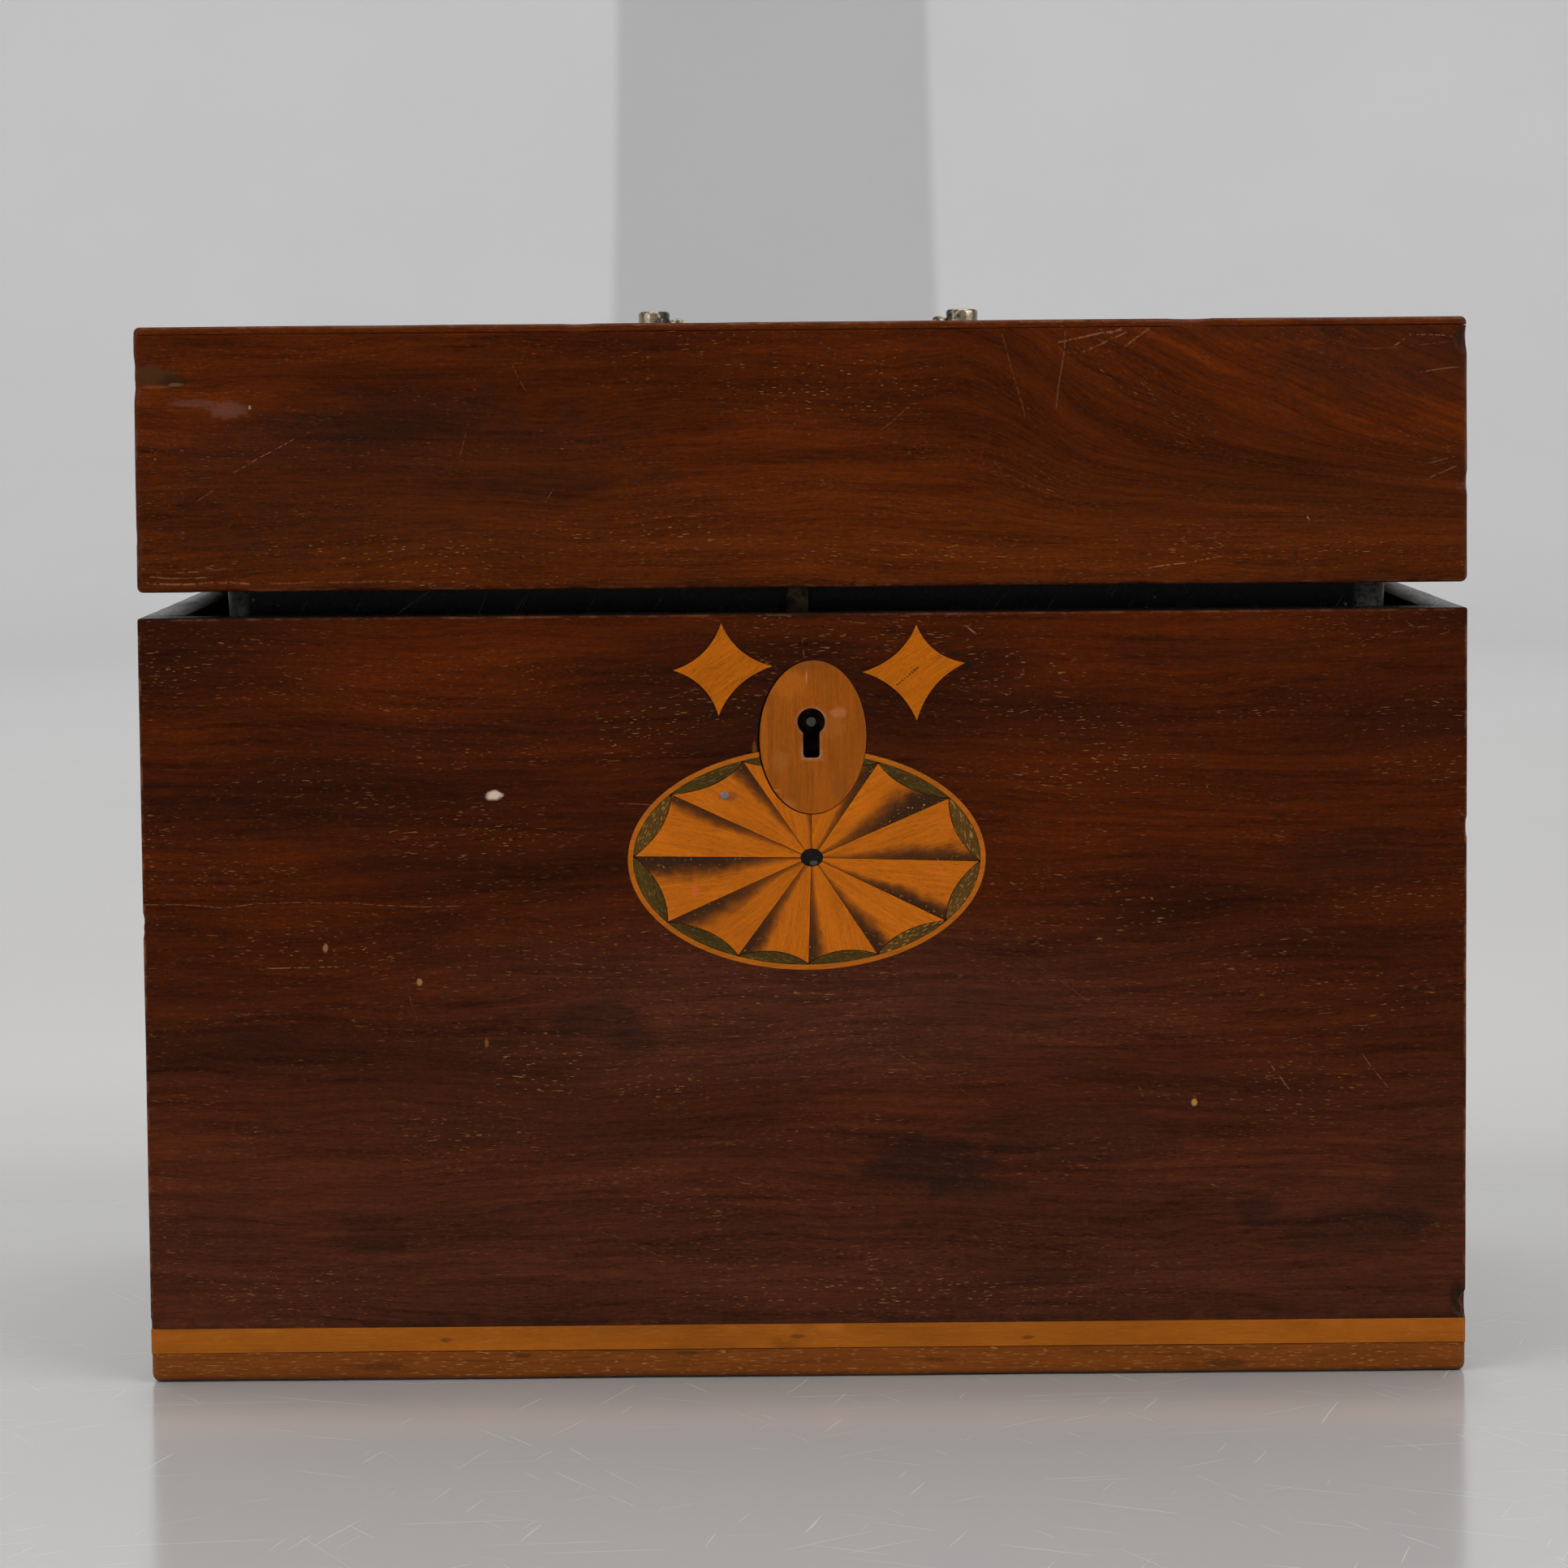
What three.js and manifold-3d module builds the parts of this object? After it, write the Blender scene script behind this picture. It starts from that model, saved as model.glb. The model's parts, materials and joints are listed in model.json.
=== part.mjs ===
// Tea caddy: an inlaid mahogany box with a hinged lid, a small box lock, a bail
// handle and a two-compartment tin insert. Millimetres, +Z up, front towards -Y,
// origin at the centre of the underside. The lid stands slightly ajar.

import * as THREE from 'three';
import { mergeVertices } from 'three/addons/utils/BufferGeometryUtils.js';
import Module from 'manifold-3d';

const wasm = await Module();
wasm.setup();

// --- driving dimensions -----------------------------------------------------

const WIDTH = 240;
const DEPTH = 142;
const CASE_HEIGHT = 139.7;
const LID_HEIGHT = 47.8;
const WALL = 8;
const GAP = 0.3; // between pieces that touch

const HALF_W = WIDTH / 2;
const HALF_D = DEPTH / 2;
const INNER_W = HALF_W - WALL;
const INNER_D = HALF_D - WALL;

// bottom edging: a dark base strip with a pale string above it
const PLINTH_TOP = 5.4;
const STRING_TOP = 9.9;
const EDGING = 3;
const CORNER_ROUND = 2.2;
const BASE_THICK = 8;
const LINING = 1.3;
const LINING_TOP = CASE_HEIGHT - 1.2;

// lid: four walls under a top with a veneered overlap
const LID_BOTTOM = CASE_HEIGHT + GAP;
const LID_TOP = LID_BOTTOM + LID_HEIGHT;
const TOP_SHEET = 1.2;
const TOP_PANEL = 5.6;
const PANEL_BOTTOM = LID_TOP - TOP_SHEET - TOP_PANEL;
const LID_AJAR = THREE.MathUtils.degToRad(1.7);

// inlay on the front
const INLAY = 0.9;
const POCKET = INLAY + GAP;
const ESCUTCHEON = { x: 1.7, z: 117.2, a: 9.65, b: 13.9 };
const KEYHOLE = { x: 1.4, z: 119.9, r: 2.5, slot: 3.0, drop: 6.5 };
const LOZENGES = { left: { x: -14.5, z: 129.6 }, right: { x: 20.0, z: 128.9 } };
const LOZENGE_A = 9.1;
const LOZENGE_B = 8.5;
const LOZENGE_HOLLOW = 0.34; // how far each side is drawn in, as a fraction of its corner
const PATERA = { x: 0.4, z: 95.1, a: 32.4, b: 20.1 };
const FAN_CENTRE = { x: 1.3, z: 95.2 };
const RING = 0.95;
const RAY_ANGLES = [0, 24.5, 54.5, 90]; // one quadrant, mirrored round the oval
const PETAL_HOLLOW = 0.86; // middle of a petal's end, as a fraction of its cusps

// hinges
const HINGE_AXIS = { y: HALF_D + 2.3, z: CASE_HEIGHT + GAP / 2 };
const HINGE_X = [-72, 72];
const HINGE_LENGTH = 32;
const KNUCKLE_R = 1.9;
const KNUCKLE_BORE = 1.1;
const PIN_R = 0.8;
const LEAF = 1.0;
const LEAF_REACH = 7.2; // from the back face forwards
const MIDDLE_KNUCKLE = 12.6;
const HINGE_SCREW_SPREAD = 10;

// lock
const LOCK = { x: KEYHOLE.x, halfW: 25, bottom: 105, plate: 1.0, reachY: HALF_D - 2.1 };
const LOCK_CASE = { halfW: 20, bottom: 106, top: 138.1, wall: 0.7 };
const LOCK_FRONT = -HALF_D + 2.0; // outer face of the lock case
const LOCK_SCREW = { spread: 22.6, z: 122 };
const STAPLE = { x: -0.9, width: 3.9, bottom: 130.4, front: -67.6, back: -64.4, leg: 0.7, bar: 1.2 };
const STRIKE = { halfW: 15, front: -LOCK.reachY, back: -INNER_D - 0.5 };
const BOLT = { bottom: STAPLE.bottom + STAPLE.bar + GAP, height: 2.2, y0: -66.6, y1: -65.4 };
const BOLT_TAIL = { left: -1, right: 20.1, bottom: 123.2, top: 128.5, shoulder: 8 };

// handle
const HANDLE_X = 2.0;
const POST_SPREAD = 29.8;
const POST_R = 3.05;
const POST_HEIGHT = 4.6;
const PIVOT_HEIGHT = 2.25;
const SHANK_R = 1.5;
const NUT = { half: 3.5, height: 2.5 };
const BAIL = { armX: 25.1, reach: 21, corner: 8, rod: 0.95, grip: 1.05, gripHalf: 15, bossR: 1.0 };
const BAIL_DROOP = THREE.MathUtils.degToRad(2.3);

// tin insert
const TIN = { x: 0.8, halfW: 106.5, halfD: 58.4, top: 148, sheet: 1.0, corner: 5 };
const TIN_BOTTOM = BASE_THICK + GAP;
const COVER = { plate: 1.0, skirt: 8, fit: 0.4 };
const KNOB = { foot: 4.2, neck: 1.8, ball: 4.4, height: 8.6 };

// screws
const SCREW = { head: 1.5, shank: 0.8, hinge: 9, lock: 5, strike: 8 };
const PILOT_R = SCREW.shank + GAP;

// --- materials ----------------------------------------------------------------

function finish(color, roughness, metalness = 0) {
  return new THREE.MeshStandardMaterial({ color, roughness, metalness });
}

const mahogany = finish(0x3a1a12, 0.45);
const lidMahogany = finish(0x4e2012, 0.4);
const baseStrip = finish(0x5f3010, 0.5);
const innerWood = finish(0x5a3a26, 0.8);
const boxwood = finish(0xa85f1c, 0.45);
const greenWood = finish(0x3d3516, 0.5);
const satinwood = finish(0xb0641a, 0.45);
const brass = finish(0x9a7b45, 0.4, 1);
const silvered = finish(0xa39a86, 0.35, 1);
const steel = finish(0x55524e, 0.45, 1);
const tin = finish(0x3c3a38, 0.5, 1);

// --- solids -------------------------------------------------------------------

// A closed three.js geometry as a solid, with its seams welded.
function solid(geometry) {
  const bare = geometry.clone();
  bare.deleteAttribute('normal');
  bare.deleteAttribute('uv');
  const merged = mergeVertices(bare, 1e-4);
  const index = Array.from(merged.index.array);
  const faces = [];
  for (let i = 0; i < index.length; i += 3) {
    const [a, b, c] = index.slice(i, i + 3);
    if (a !== b && b !== c && c !== a) faces.push(a, b, c);
  }
  return new wasm.Manifold(new wasm.Mesh({
    numProp: 3,
    vertProperties: new Float32Array(merged.attributes.position.array),
    triVerts: new Uint32Array(faces),
  }));
}

function joined(...parts) {
  return parts.reduce((sum, part) => sum.add(part));
}

function cut(body, ...tools) {
  return tools.reduce((rest, tool) => rest.subtract(tool), body);
}

function box(x0, x1, y0, y1, z0, z1) {
  const geometry = new THREE.BoxGeometry(x1 - x0, y1 - y0, z1 - z0);
  return solid(geometry.translate((x0 + x1) / 2, (y0 + y1) / 2, (z0 + z1) / 2));
}

// A round bar from one point to another along a row axis.
function bar(axis, radius, from, to, segments = 20) {
  const length = Math.abs(to[axis] - from[axis]);
  const geometry = new THREE.CylinderGeometry(radius, radius, length, segments);
  if (axis === 0) geometry.rotateZ(Math.PI / 2);
  if (axis === 2) geometry.rotateX(Math.PI / 2);
  const middle = from.map((value, i) => (value + to[i]) / 2);
  return solid(geometry.translate(...middle));
}

// A plate drawn in X and Z as seen from the front, between two depths.
function frontPlate(shape, y0, y1, curveSegments = 12) {
  const settings = { depth: y1 - y0, bevelEnabled: false, curveSegments };
  const geometry = new THREE.ExtrudeGeometry(shape, settings);
  return solid(geometry.rotateX(Math.PI / 2).translate(0, y1, 0));
}

// A plate drawn in X and Y as seen from above, between two heights.
function flatPlate(shape, z0, z1, curveSegments = 4) {
  const settings = { depth: z1 - z0, bevelEnabled: false, curveSegments };
  const geometry = new THREE.ExtrudeGeometry(shape, settings);
  return solid(geometry.translate(0, 0, z0));
}

// A turned piece: radius and height pairs, turned round a vertical axis.
function turned(profile, x, y, z, segments = 20) {
  const points = profile.map(([radius, height]) => new THREE.Vector2(radius, height));
  const geometry = new THREE.LatheGeometry(points, segments);
  return solid(geometry.rotateX(Math.PI / 2).translate(x, y, z));
}

function ellipse({ x, z, a, b }, grow = 0) {
  const shape = new THREE.Shape();
  shape.absellipse(x, z, a + grow, b + grow, 0, Math.PI * 2, false);
  return shape;
}

function meshOf(name, body, material) {
  const { vertProperties, triVerts } = body.getMesh();
  const geometry = new THREE.BufferGeometry();
  geometry.setAttribute('position', new THREE.BufferAttribute(new Float32Array(vertProperties), 3));
  geometry.setIndex(new THREE.BufferAttribute(new Uint32Array(triVerts), 1));
  const mesh = new THREE.Mesh(geometry.toNonIndexed(), material);
  mesh.geometry.computeVertexNormals();
  mesh.name = name;
  return mesh;
}

// --- fasteners ------------------------------------------------------------------

// A countersunk wood screw standing on its point, its slotted head at height 0.
function woodScrew(length) {
  const { head, shank } = SCREW;
  const point = [shank * 0.9, -length + 1.6];
  const profile = [[0, -length], point, [shank, -1], [head, -0.25], [head, 0], [0, 0]];
  const blank = turned(profile, 0, 0, 0, 10);
  return cut(blank, box(-2, 2, -0.22, 0.22, -0.45, 1));
}

// The clearance for that screw through a plate and into the wood below it.
function screwHole(length) {
  const mouth = SCREW.head + GAP;
  const end = -length - GAP;
  const profile = [[0, end], [PILOT_R, end], [PILOT_R, -1.1], [mouth, -0.3], [mouth, 1], [0, 1]];
  return turned(profile, 0, 0, 0, 10);
}

// --- case ---------------------------------------------------------------------

// The bottom rabbet that takes the edging, all round the case.
const edgingSpace = cut(
  box(-HALF_W - 1, HALF_W + 1, -HALF_D - 1, HALF_D + 1, -1, STRING_TOP + GAP),
  box(-HALF_W + EDGING, HALF_W - EDGING, -HALF_D + EDGING, HALF_D - EDGING, -2, STRING_TOP + 1),
);

function keyholeShape(grow = 0) {
  const { x, z, r, slot, drop } = KEYHOLE;
  const radius = r + grow;
  const half = slot / 2 + grow;
  const foot = z - drop - grow;
  const meet = Math.asin(half / radius);
  const shape = new THREE.Shape();
  shape.absarc(x, z, radius, -Math.PI / 2 + meet, Math.PI * 1.5 - meet, false);
  shape.lineTo(x - half, foot + 0.6);
  shape.quadraticCurveTo(x - half, foot, x - half + 0.6, foot);
  shape.lineTo(x + half - 0.6, foot);
  shape.quadraticCurveTo(x + half, foot, x + half, foot + 0.6);
  return shape;
}

// A four-pointed lozenge with hollow sides.
function lozengeShape({ x, z }, grow = 0) {
  const a = LOZENGE_A + grow * 1.6;
  const b = LOZENGE_B + grow * 1.6;
  const pull = LOZENGE_HOLLOW;
  const shape = new THREE.Shape();
  shape.moveTo(x + a, z);
  shape.quadraticCurveTo(x + a * pull, z + b * pull, x, z + b);
  shape.quadraticCurveTo(x - a * pull, z + b * pull, x - a, z);
  shape.quadraticCurveTo(x - a * pull, z - b * pull, x, z - b);
  shape.quadraticCurveTo(x + a * pull, z - b * pull, x + a, z);
  return shape;
}

// The twelve rays of the fan, as points on an oval inside the ring.
function cusps(inset) {
  const a = PATERA.a - RING - inset;
  const b = PATERA.b - RING - inset;
  const quadrant = RAY_ANGLES.map(THREE.MathUtils.degToRad);
  const rays = [
    ...quadrant,
    ...quadrant.slice(1, 3).reverse().map((angle) => Math.PI - angle),
    ...quadrant.slice(0, 3).map((angle) => Math.PI + angle),
    Math.PI * 1.5,
    ...quadrant.slice(1, 3).reverse().map((angle) => Math.PI * 2 - angle),
  ];
  return rays.map((angle) => {
    const turn = Math.atan2(Math.sin(angle) / b, Math.cos(angle) / a);
    return new THREE.Vector2(PATERA.x + a * Math.cos(turn), PATERA.z + b * Math.sin(turn));
  });
}

// The fan's outline: a cusp at each ray and a hollow petal end between rays.
function fanShape(inset) {
  const points = cusps(inset);
  const centre = new THREE.Vector2(FAN_CENTRE.x, FAN_CENTRE.z);
  const shape = new THREE.Shape();
  shape.moveTo(points[0].x, points[0].y);
  points.forEach((point, i) => {
    const next = points[(i + 1) % points.length];
    const middle = point.clone().add(next).divideScalar(2);
    const pulled = centre.clone().lerp(middle, PETAL_HOLLOW - inset / 40);
    shape.quadraticCurveTo(pulled.x, pulled.y, next.x, next.y);
  });
  return shape;
}

const lockX0 = LOCK.x - LOCK.halfW;
const lockX1 = LOCK.x + LOCK.halfW;
const stapleX0 = STAPLE.x - STAPLE.width / 2;
const stapleX1 = STAPLE.x + STAPLE.width / 2;

// Turns a piece drawn standing on its point so that its head faces the inside.
function towardsFront(piece, x, y, z) {
  return piece.rotate([-90, 0, 0]).translate([x, y, z]);
}

function lockScrewPlaces() {
  return [-1, 1].map((side) => LOCK.x + side * LOCK_SCREW.spread);
}

function frontWall() {
  const face = -HALF_D;
  const pocket = (shape, segments) => frontPlate(shape, face - 1, face + POCKET, segments);
  const lockRecess = box(
    LOCK.x - LOCK_CASE.halfW - GAP, LOCK.x + LOCK_CASE.halfW + GAP,
    LOCK_FRONT - GAP, -INNER_D + 1, LOCK_CASE.bottom - GAP, CASE_HEIGHT + 1,
  );
  const plateRecess = joined(
    box(lockX0 - GAP, lockX1 + GAP, -INNER_D - LOCK.plate - GAP, -INNER_D + 1,
      LOCK.bottom - GAP, CASE_HEIGHT + 1),
    box(lockX0 - GAP, lockX1 + GAP, -LOCK.reachY - GAP, -INNER_D + 1,
      CASE_HEIGHT - LOCK.plate - GAP, CASE_HEIGHT + 1),
  );
  return cut(
    box(-HALF_W, HALF_W, face, -INNER_D, 0, CASE_HEIGHT),
    edgingSpace,
    pocket(ellipse(ESCUTCHEON, GAP), 18),
    pocket(ellipse(PATERA, GAP), 24),
    ...Object.values(LOZENGES).map((place) => pocket(lozengeShape(place, GAP), 5)),
    frontPlate(keyholeShape(), face - 1, LOCK_FRONT, 6),
    lockRecess,
    plateRecess,
    ...lockScrewPlaces().map((x) => towardsFront(screwHole(SCREW.lock), x, -INNER_D, LOCK_SCREW.z)),
  );
}

// Hinge leaf recesses and their screw holes in a back rim; up is 1 for the case.
function hingeRecesses(rim, up) {
  const deep = rim - up * (LEAF + GAP);
  return HINGE_X.flatMap((x) => [
    box(x - HINGE_LENGTH / 2 - GAP, x + HINGE_LENGTH / 2 + GAP, HALF_D - LEAF_REACH - GAP, HALF_D + 1,
      Math.min(deep, rim + up), Math.max(deep, rim + up)),
    ...hingeScrewPlaces(x).map((sx) => hingeHole(sx, rim, up)),
  ]);
}

function hingeScrewPlaces(x) {
  return [x - HINGE_SCREW_SPREAD, x + HINGE_SCREW_SPREAD];
}

function hingeHole(x, rim, up) {
  const hole = screwHole(SCREW.hinge);
  const turnedHole = up > 0 ? hole : hole.rotate([180, 0, 0]);
  return turnedHole.translate([x, HALF_D - LEAF_REACH / 2, rim]);
}

function caseWalls() {
  const group = new THREE.Group();
  const back = cut(
    box(-HALF_W, HALF_W, INNER_D, HALF_D, 0, CASE_HEIGHT),
    edgingSpace,
    ...hingeRecesses(CASE_HEIGHT, 1),
  );
  group.add(meshOf('front_wall', frontWall(), mahogany));
  group.add(meshOf('back_wall', back, mahogany));
  for (const [side, name] of [[-1, 'left'], [1, 'right']]) {
    const outer = side * HALF_W;
    const inner = side * INNER_W;
    const [x0, x1] = [Math.min(outer, inner), Math.max(outer, inner)];
    const wall = cut(
      box(x0, x1, -INNER_D + GAP, INNER_D - GAP, 0, CASE_HEIGHT),
      edgingSpace,
    );
    group.add(meshOf(`${name}_wall`, wall, mahogany));
    const near = side * (INNER_W - GAP);
    const far = side * (INNER_W - GAP - LINING);
    const lining = box(Math.min(near, far), Math.max(near, far), -INNER_D + GAP, INNER_D - GAP,
      BASE_THICK + GAP, LINING_TOP);
    group.add(meshOf(`${name}_lining`, lining, innerWood));
  }
  const base = box(-INNER_W + GAP, INNER_W - GAP, -INNER_D + GAP, INNER_D - GAP, 0, BASE_THICK);
  group.add(meshOf('base_board', base, innerWood));
  return group;
}

// A dark base strip with its lower corners rounded off.
function plinthShape(half) {
  const round = CORNER_ROUND;
  const top = PLINTH_TOP - GAP / 2;
  const shape = new THREE.Shape();
  shape.moveTo(-half, top);
  shape.lineTo(-half, round);
  shape.absarc(-half + round, round, round, Math.PI, Math.PI * 1.5, false);
  shape.lineTo(half - round, 0);
  shape.absarc(half - round, round, round, Math.PI * 1.5, Math.PI * 2, false);
  shape.lineTo(half, top);
  return shape;
}

function edging() {
  const group = new THREE.Group();
  const thick = EDGING - GAP;
  const sideEnd = HALF_D - EDGING;
  for (const [side, name] of [[-1, 'front'], [1, 'back']]) {
    const outer = side * HALF_D;
    const y0 = Math.min(outer, outer - side * thick);
    const string = box(-HALF_W, HALF_W, y0, y0 + thick, PLINTH_TOP + GAP / 2, STRING_TOP);
    group.add(meshOf(`${name}_plinth`, frontPlate(plinthShape(HALF_W), y0, y0 + thick, 5), baseStrip));
    group.add(meshOf(`${name}_string`, string, boxwood));
  }
  for (const [side, name] of [[-1, 'left'], [1, 'right']]) {
    const outer = side * HALF_W;
    const x0 = Math.min(outer, outer - side * thick);
    const strip = (z0, z1) => box(x0, x0 + thick, -sideEnd, sideEnd, z0, z1);
    group.add(meshOf(`${name}_plinth`, strip(0, PLINTH_TOP - GAP / 2), baseStrip));
    group.add(meshOf(`${name}_string`, strip(PLINTH_TOP + GAP / 2, STRING_TOP), boxwood));
  }
  return group;
}

function inlays() {
  const group = new THREE.Group();
  const y0 = -HALF_D;
  const y1 = y0 + INLAY;
  const underEscutcheon = frontPlate(ellipse(ESCUTCHEON, GAP), y0 - 1, y1 + 1, 18);
  const piece = (shape, segments) => frontPlate(shape, y0, y1, segments);
  const tool = (shape, segments) => frontPlate(shape, y0 - 1, y1 + 1, segments);

  const escutcheon = cut(piece(ellipse(ESCUTCHEON), 18), tool(keyholeShape(), 6));
  group.add(meshOf('escutcheon', escutcheon, boxwood));
  for (const [name, place] of Object.entries(LOZENGES)) {
    group.add(meshOf(`${name}_lozenge`, piece(lozengeShape(place), 5), boxwood));
  }
  const ring = cut(piece(ellipse(PATERA), 24), tool(ellipse(PATERA, -RING), 24), underEscutcheon);
  const ground = cut(
    piece(ellipse(PATERA, -RING - GAP), 24),
    tool(fanShape(2 * GAP), 4),
    underEscutcheon,
  );
  const fan = cut(piece(fanShape(3 * GAP), 4), underEscutcheon);
  group.add(meshOf('patera_ring', ring, boxwood));
  group.add(meshOf('patera_ground', ground, greenWood));
  group.add(meshOf('patera_fan', fan, satinwood));
  return group;
}

// --- lock ---------------------------------------------------------------------

function lockPlate() {
  const face = -INNER_D;
  const plate = joined(
    box(lockX0, lockX1, face - LOCK.plate, face, LOCK.bottom, CASE_HEIGHT),
    box(lockX0, lockX1, -LOCK.reachY, face, CASE_HEIGHT - LOCK.plate, CASE_HEIGHT),
  );
  return cut(
    plate,
    box(stapleX0 - 0.6, stapleX1 + 0.6, STAPLE.front - 0.6, STAPLE.back + 0.3,
      CASE_HEIGHT - 2, CASE_HEIGHT + 1),
    ...lockScrewPlaces().map((x) => towardsFront(screwHole(SCREW.lock), x, face, LOCK_SCREW.z)),
  );
}

function lockCase() {
  const { halfW, bottom, top, wall } = LOCK_CASE;
  const back = -INNER_D - LOCK.plate - GAP;
  return cut(
    box(LOCK.x - halfW, LOCK.x + halfW, LOCK_FRONT, back, bottom, top),
    box(LOCK.x - halfW + wall, LOCK.x + halfW - wall, LOCK_FRONT + wall, back + 1,
      bottom + wall, top + 1),
    frontPlate(keyholeShape(), LOCK_FRONT - 1, LOCK_FRONT + wall + 1, 6),
  );
}

// The bolt: a finger at the top that enters the staple, over a tail notched for the key.
function boltShape() {
  const { left, right, bottom, top, shoulder } = BOLT_TAIL;
  const fingerTop = BOLT.bottom + BOLT.height;
  const notch = { x0: left + 4.4, x1: left + 7.4, top: bottom + 3 };
  const shape = new THREE.Shape();
  shape.moveTo(left, bottom);
  shape.lineTo(notch.x0, bottom);
  shape.lineTo(notch.x0, notch.top);
  shape.lineTo(notch.x1, notch.top);
  shape.lineTo(notch.x1, bottom);
  shape.lineTo(right, bottom);
  shape.lineTo(right, fingerTop);
  shape.lineTo(stapleX1 + 0.35, fingerTop);
  shape.lineTo(stapleX1 + 0.35, BOLT.bottom);
  shape.lineTo(shoulder, BOLT.bottom);
  shape.lineTo(shoulder, top);
  shape.lineTo(left, top);
  return shape;
}

// A bent strip that presses on the back of the bolt.
function springShape() {
  const thick = 0.45;
  const anchor = { x: LOCK.x + LOCK_CASE.halfW - LOCK_CASE.wall - GAP, z: 137.4 };
  const touch = { x: anchor.x - 8, z: BOLT.bottom + BOLT.height + GAP };
  const tip = { x: touch.x - 4, z: touch.z + 1.4 };
  const shape = new THREE.Shape();
  shape.moveTo(anchor.x, anchor.z);
  shape.lineTo(anchor.x - 1.5, anchor.z);
  shape.quadraticCurveTo(touch.x + 3, touch.z + thick, touch.x, touch.z + thick);
  shape.lineTo(tip.x, tip.z + thick);
  shape.lineTo(tip.x, tip.z);
  shape.lineTo(touch.x, touch.z);
  shape.quadraticCurveTo(touch.x + 3.4, touch.z, anchor.x - 1.2, anchor.z - thick);
  shape.lineTo(anchor.x, anchor.z - thick);
  return shape;
}

function lock() {
  const group = new THREE.Group();
  const pinBack = -INNER_D - LOCK.plate - GAP;
  const pin = bar(1, 0.9, [KEYHOLE.x, -HALF_D + 1.4, KEYHOLE.z], [KEYHOLE.x, pinBack, KEYHOLE.z], 16);
  group.add(meshOf('lock_plate', lockPlate(), brass));
  group.add(meshOf('lock_case', lockCase(), steel));
  group.add(meshOf('lock_bolt', frontPlate(boltShape(), BOLT.y0, BOLT.y1), brass));
  group.add(meshOf('lock_spring', frontPlate(springShape(), BOLT.y0, BOLT.y1 + 0.8, 5), steel));
  group.add(meshOf('drill_pin', pin, steel));
  lockScrewPlaces().forEach((x, i) => {
    const screw = towardsFront(woodScrew(SCREW.lock), x, -INNER_D, LOCK_SCREW.z);
    group.add(meshOf(`lock_screw_${i + 1}`, screw, steel));
  });
  return group;
}

// --- hinges -------------------------------------------------------------------

// One leaf of a butt hinge in its closed place. The case leaf (up = 1) carries the two
// outer knuckles and the lid leaf (up = -1) the middle one.
function hingeLeaf(x, rim, up) {
  const half = HINGE_LENGTH / 2;
  const middle = MIDDLE_KNUCKLE / 2;
  const z0 = Math.min(rim, rim - up * LEAF);
  const z1 = z0 + LEAF;
  const { y, z } = HINGE_AXIS;
  const plate = box(x - half, x + half, HALF_D - LEAF_REACH, y - KNUCKLE_R - GAP, z0, z1);
  const spans = up > 0 ? [[-half, -middle - GAP], [middle + GAP, half]] : [[-middle, middle]];
  const knuckles = spans.flatMap(([from, to]) => [
    bar(0, KNUCKLE_R, [x + from, y, z], [x + to, y, z], 18),
    box(x + from, x + to, y - KNUCKLE_R - 2 * GAP, y, z0, z1),
  ]);
  return cut(
    joined(plate, ...knuckles),
    bar(0, KNUCKLE_BORE, [x - half - 1, y, z], [x + half + 1, y, z], 18),
    ...hingeScrewPlaces(x).map((sx) => hingeHole(sx, rim, up)),
  );
}

function hingeScrew(x, rim, up) {
  const screw = woodScrew(SCREW.hinge);
  const turnedScrew = up > 0 ? screw : screw.rotate([180, 0, 0]);
  return turnedScrew.translate([x, HALF_D - LEAF_REACH / 2, rim]);
}

function hingeHalf(owner, rim, up) {
  const group = new THREE.Group();
  HINGE_X.forEach((x, i) => {
    const side = ['left', 'right'][i];
    group.add(meshOf(`${side}_hinge_${owner}_leaf`, hingeLeaf(x, rim, up), brass));
    hingeScrewPlaces(x).forEach((sx, j) => {
      const name = `${side}_hinge_${owner}_screw_${j + 1}`;
      group.add(meshOf(name, hingeScrew(sx, rim, up), brass));
    });
  });
  return group;
}

function hingePins() {
  const group = new THREE.Group();
  const { y, z } = HINGE_AXIS;
  HINGE_X.forEach((x, i) => {
    const half = HINGE_LENGTH / 2;
    const pin = bar(0, PIN_R, [x - half, y, z], [x + half, y, z], 16);
    group.add(meshOf(`${['left', 'right'][i]}_hinge_pin`, pin, steel));
  });
  return group;
}

// --- lid ----------------------------------------------------------------------

function strikeScrewPlaces() {
  return [-11, 11].map((dx) => STAPLE.x + dx);
}

// The link plate under the lid's front rim, with the staple that the bolt enters.
function strikePlate() {
  const { front, back, bottom, leg, bar: rod } = STAPLE;
  const [x0, x1] = [STAPLE.x - STRIKE.halfW, STAPLE.x + STRIKE.halfW];
  const plate = box(x0, x1, STRIKE.front, STRIKE.back, LID_BOTTOM, LID_BOTTOM + LOCK.plate);
  const staple = cut(
    box(stapleX0, stapleX1, front, back, bottom, LID_BOTTOM + LOCK.plate),
    box(stapleX0 - 1, stapleX1 + 1, front + leg, back - leg, bottom + rod, bottom + rod + 3),
  );
  return cut(
    joined(plate, staple),
    ...strikeScrewPlaces().map((x) => strikeHole(x)),
  );
}

// Turns an upright screw or its clearance head down, into the strike plate.
function upIntoLid(solidBody, x) {
  return solidBody.rotate([180, 0, 0]).translate([x, (STRIKE.front + STRIKE.back) / 2, LID_BOTTOM]);
}

function strikeHole(x) {
  return upIntoLid(screwHole(SCREW.strike), x);
}

function strikeScrew(x) {
  return upIntoLid(woodScrew(SCREW.strike), x);
}

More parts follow.
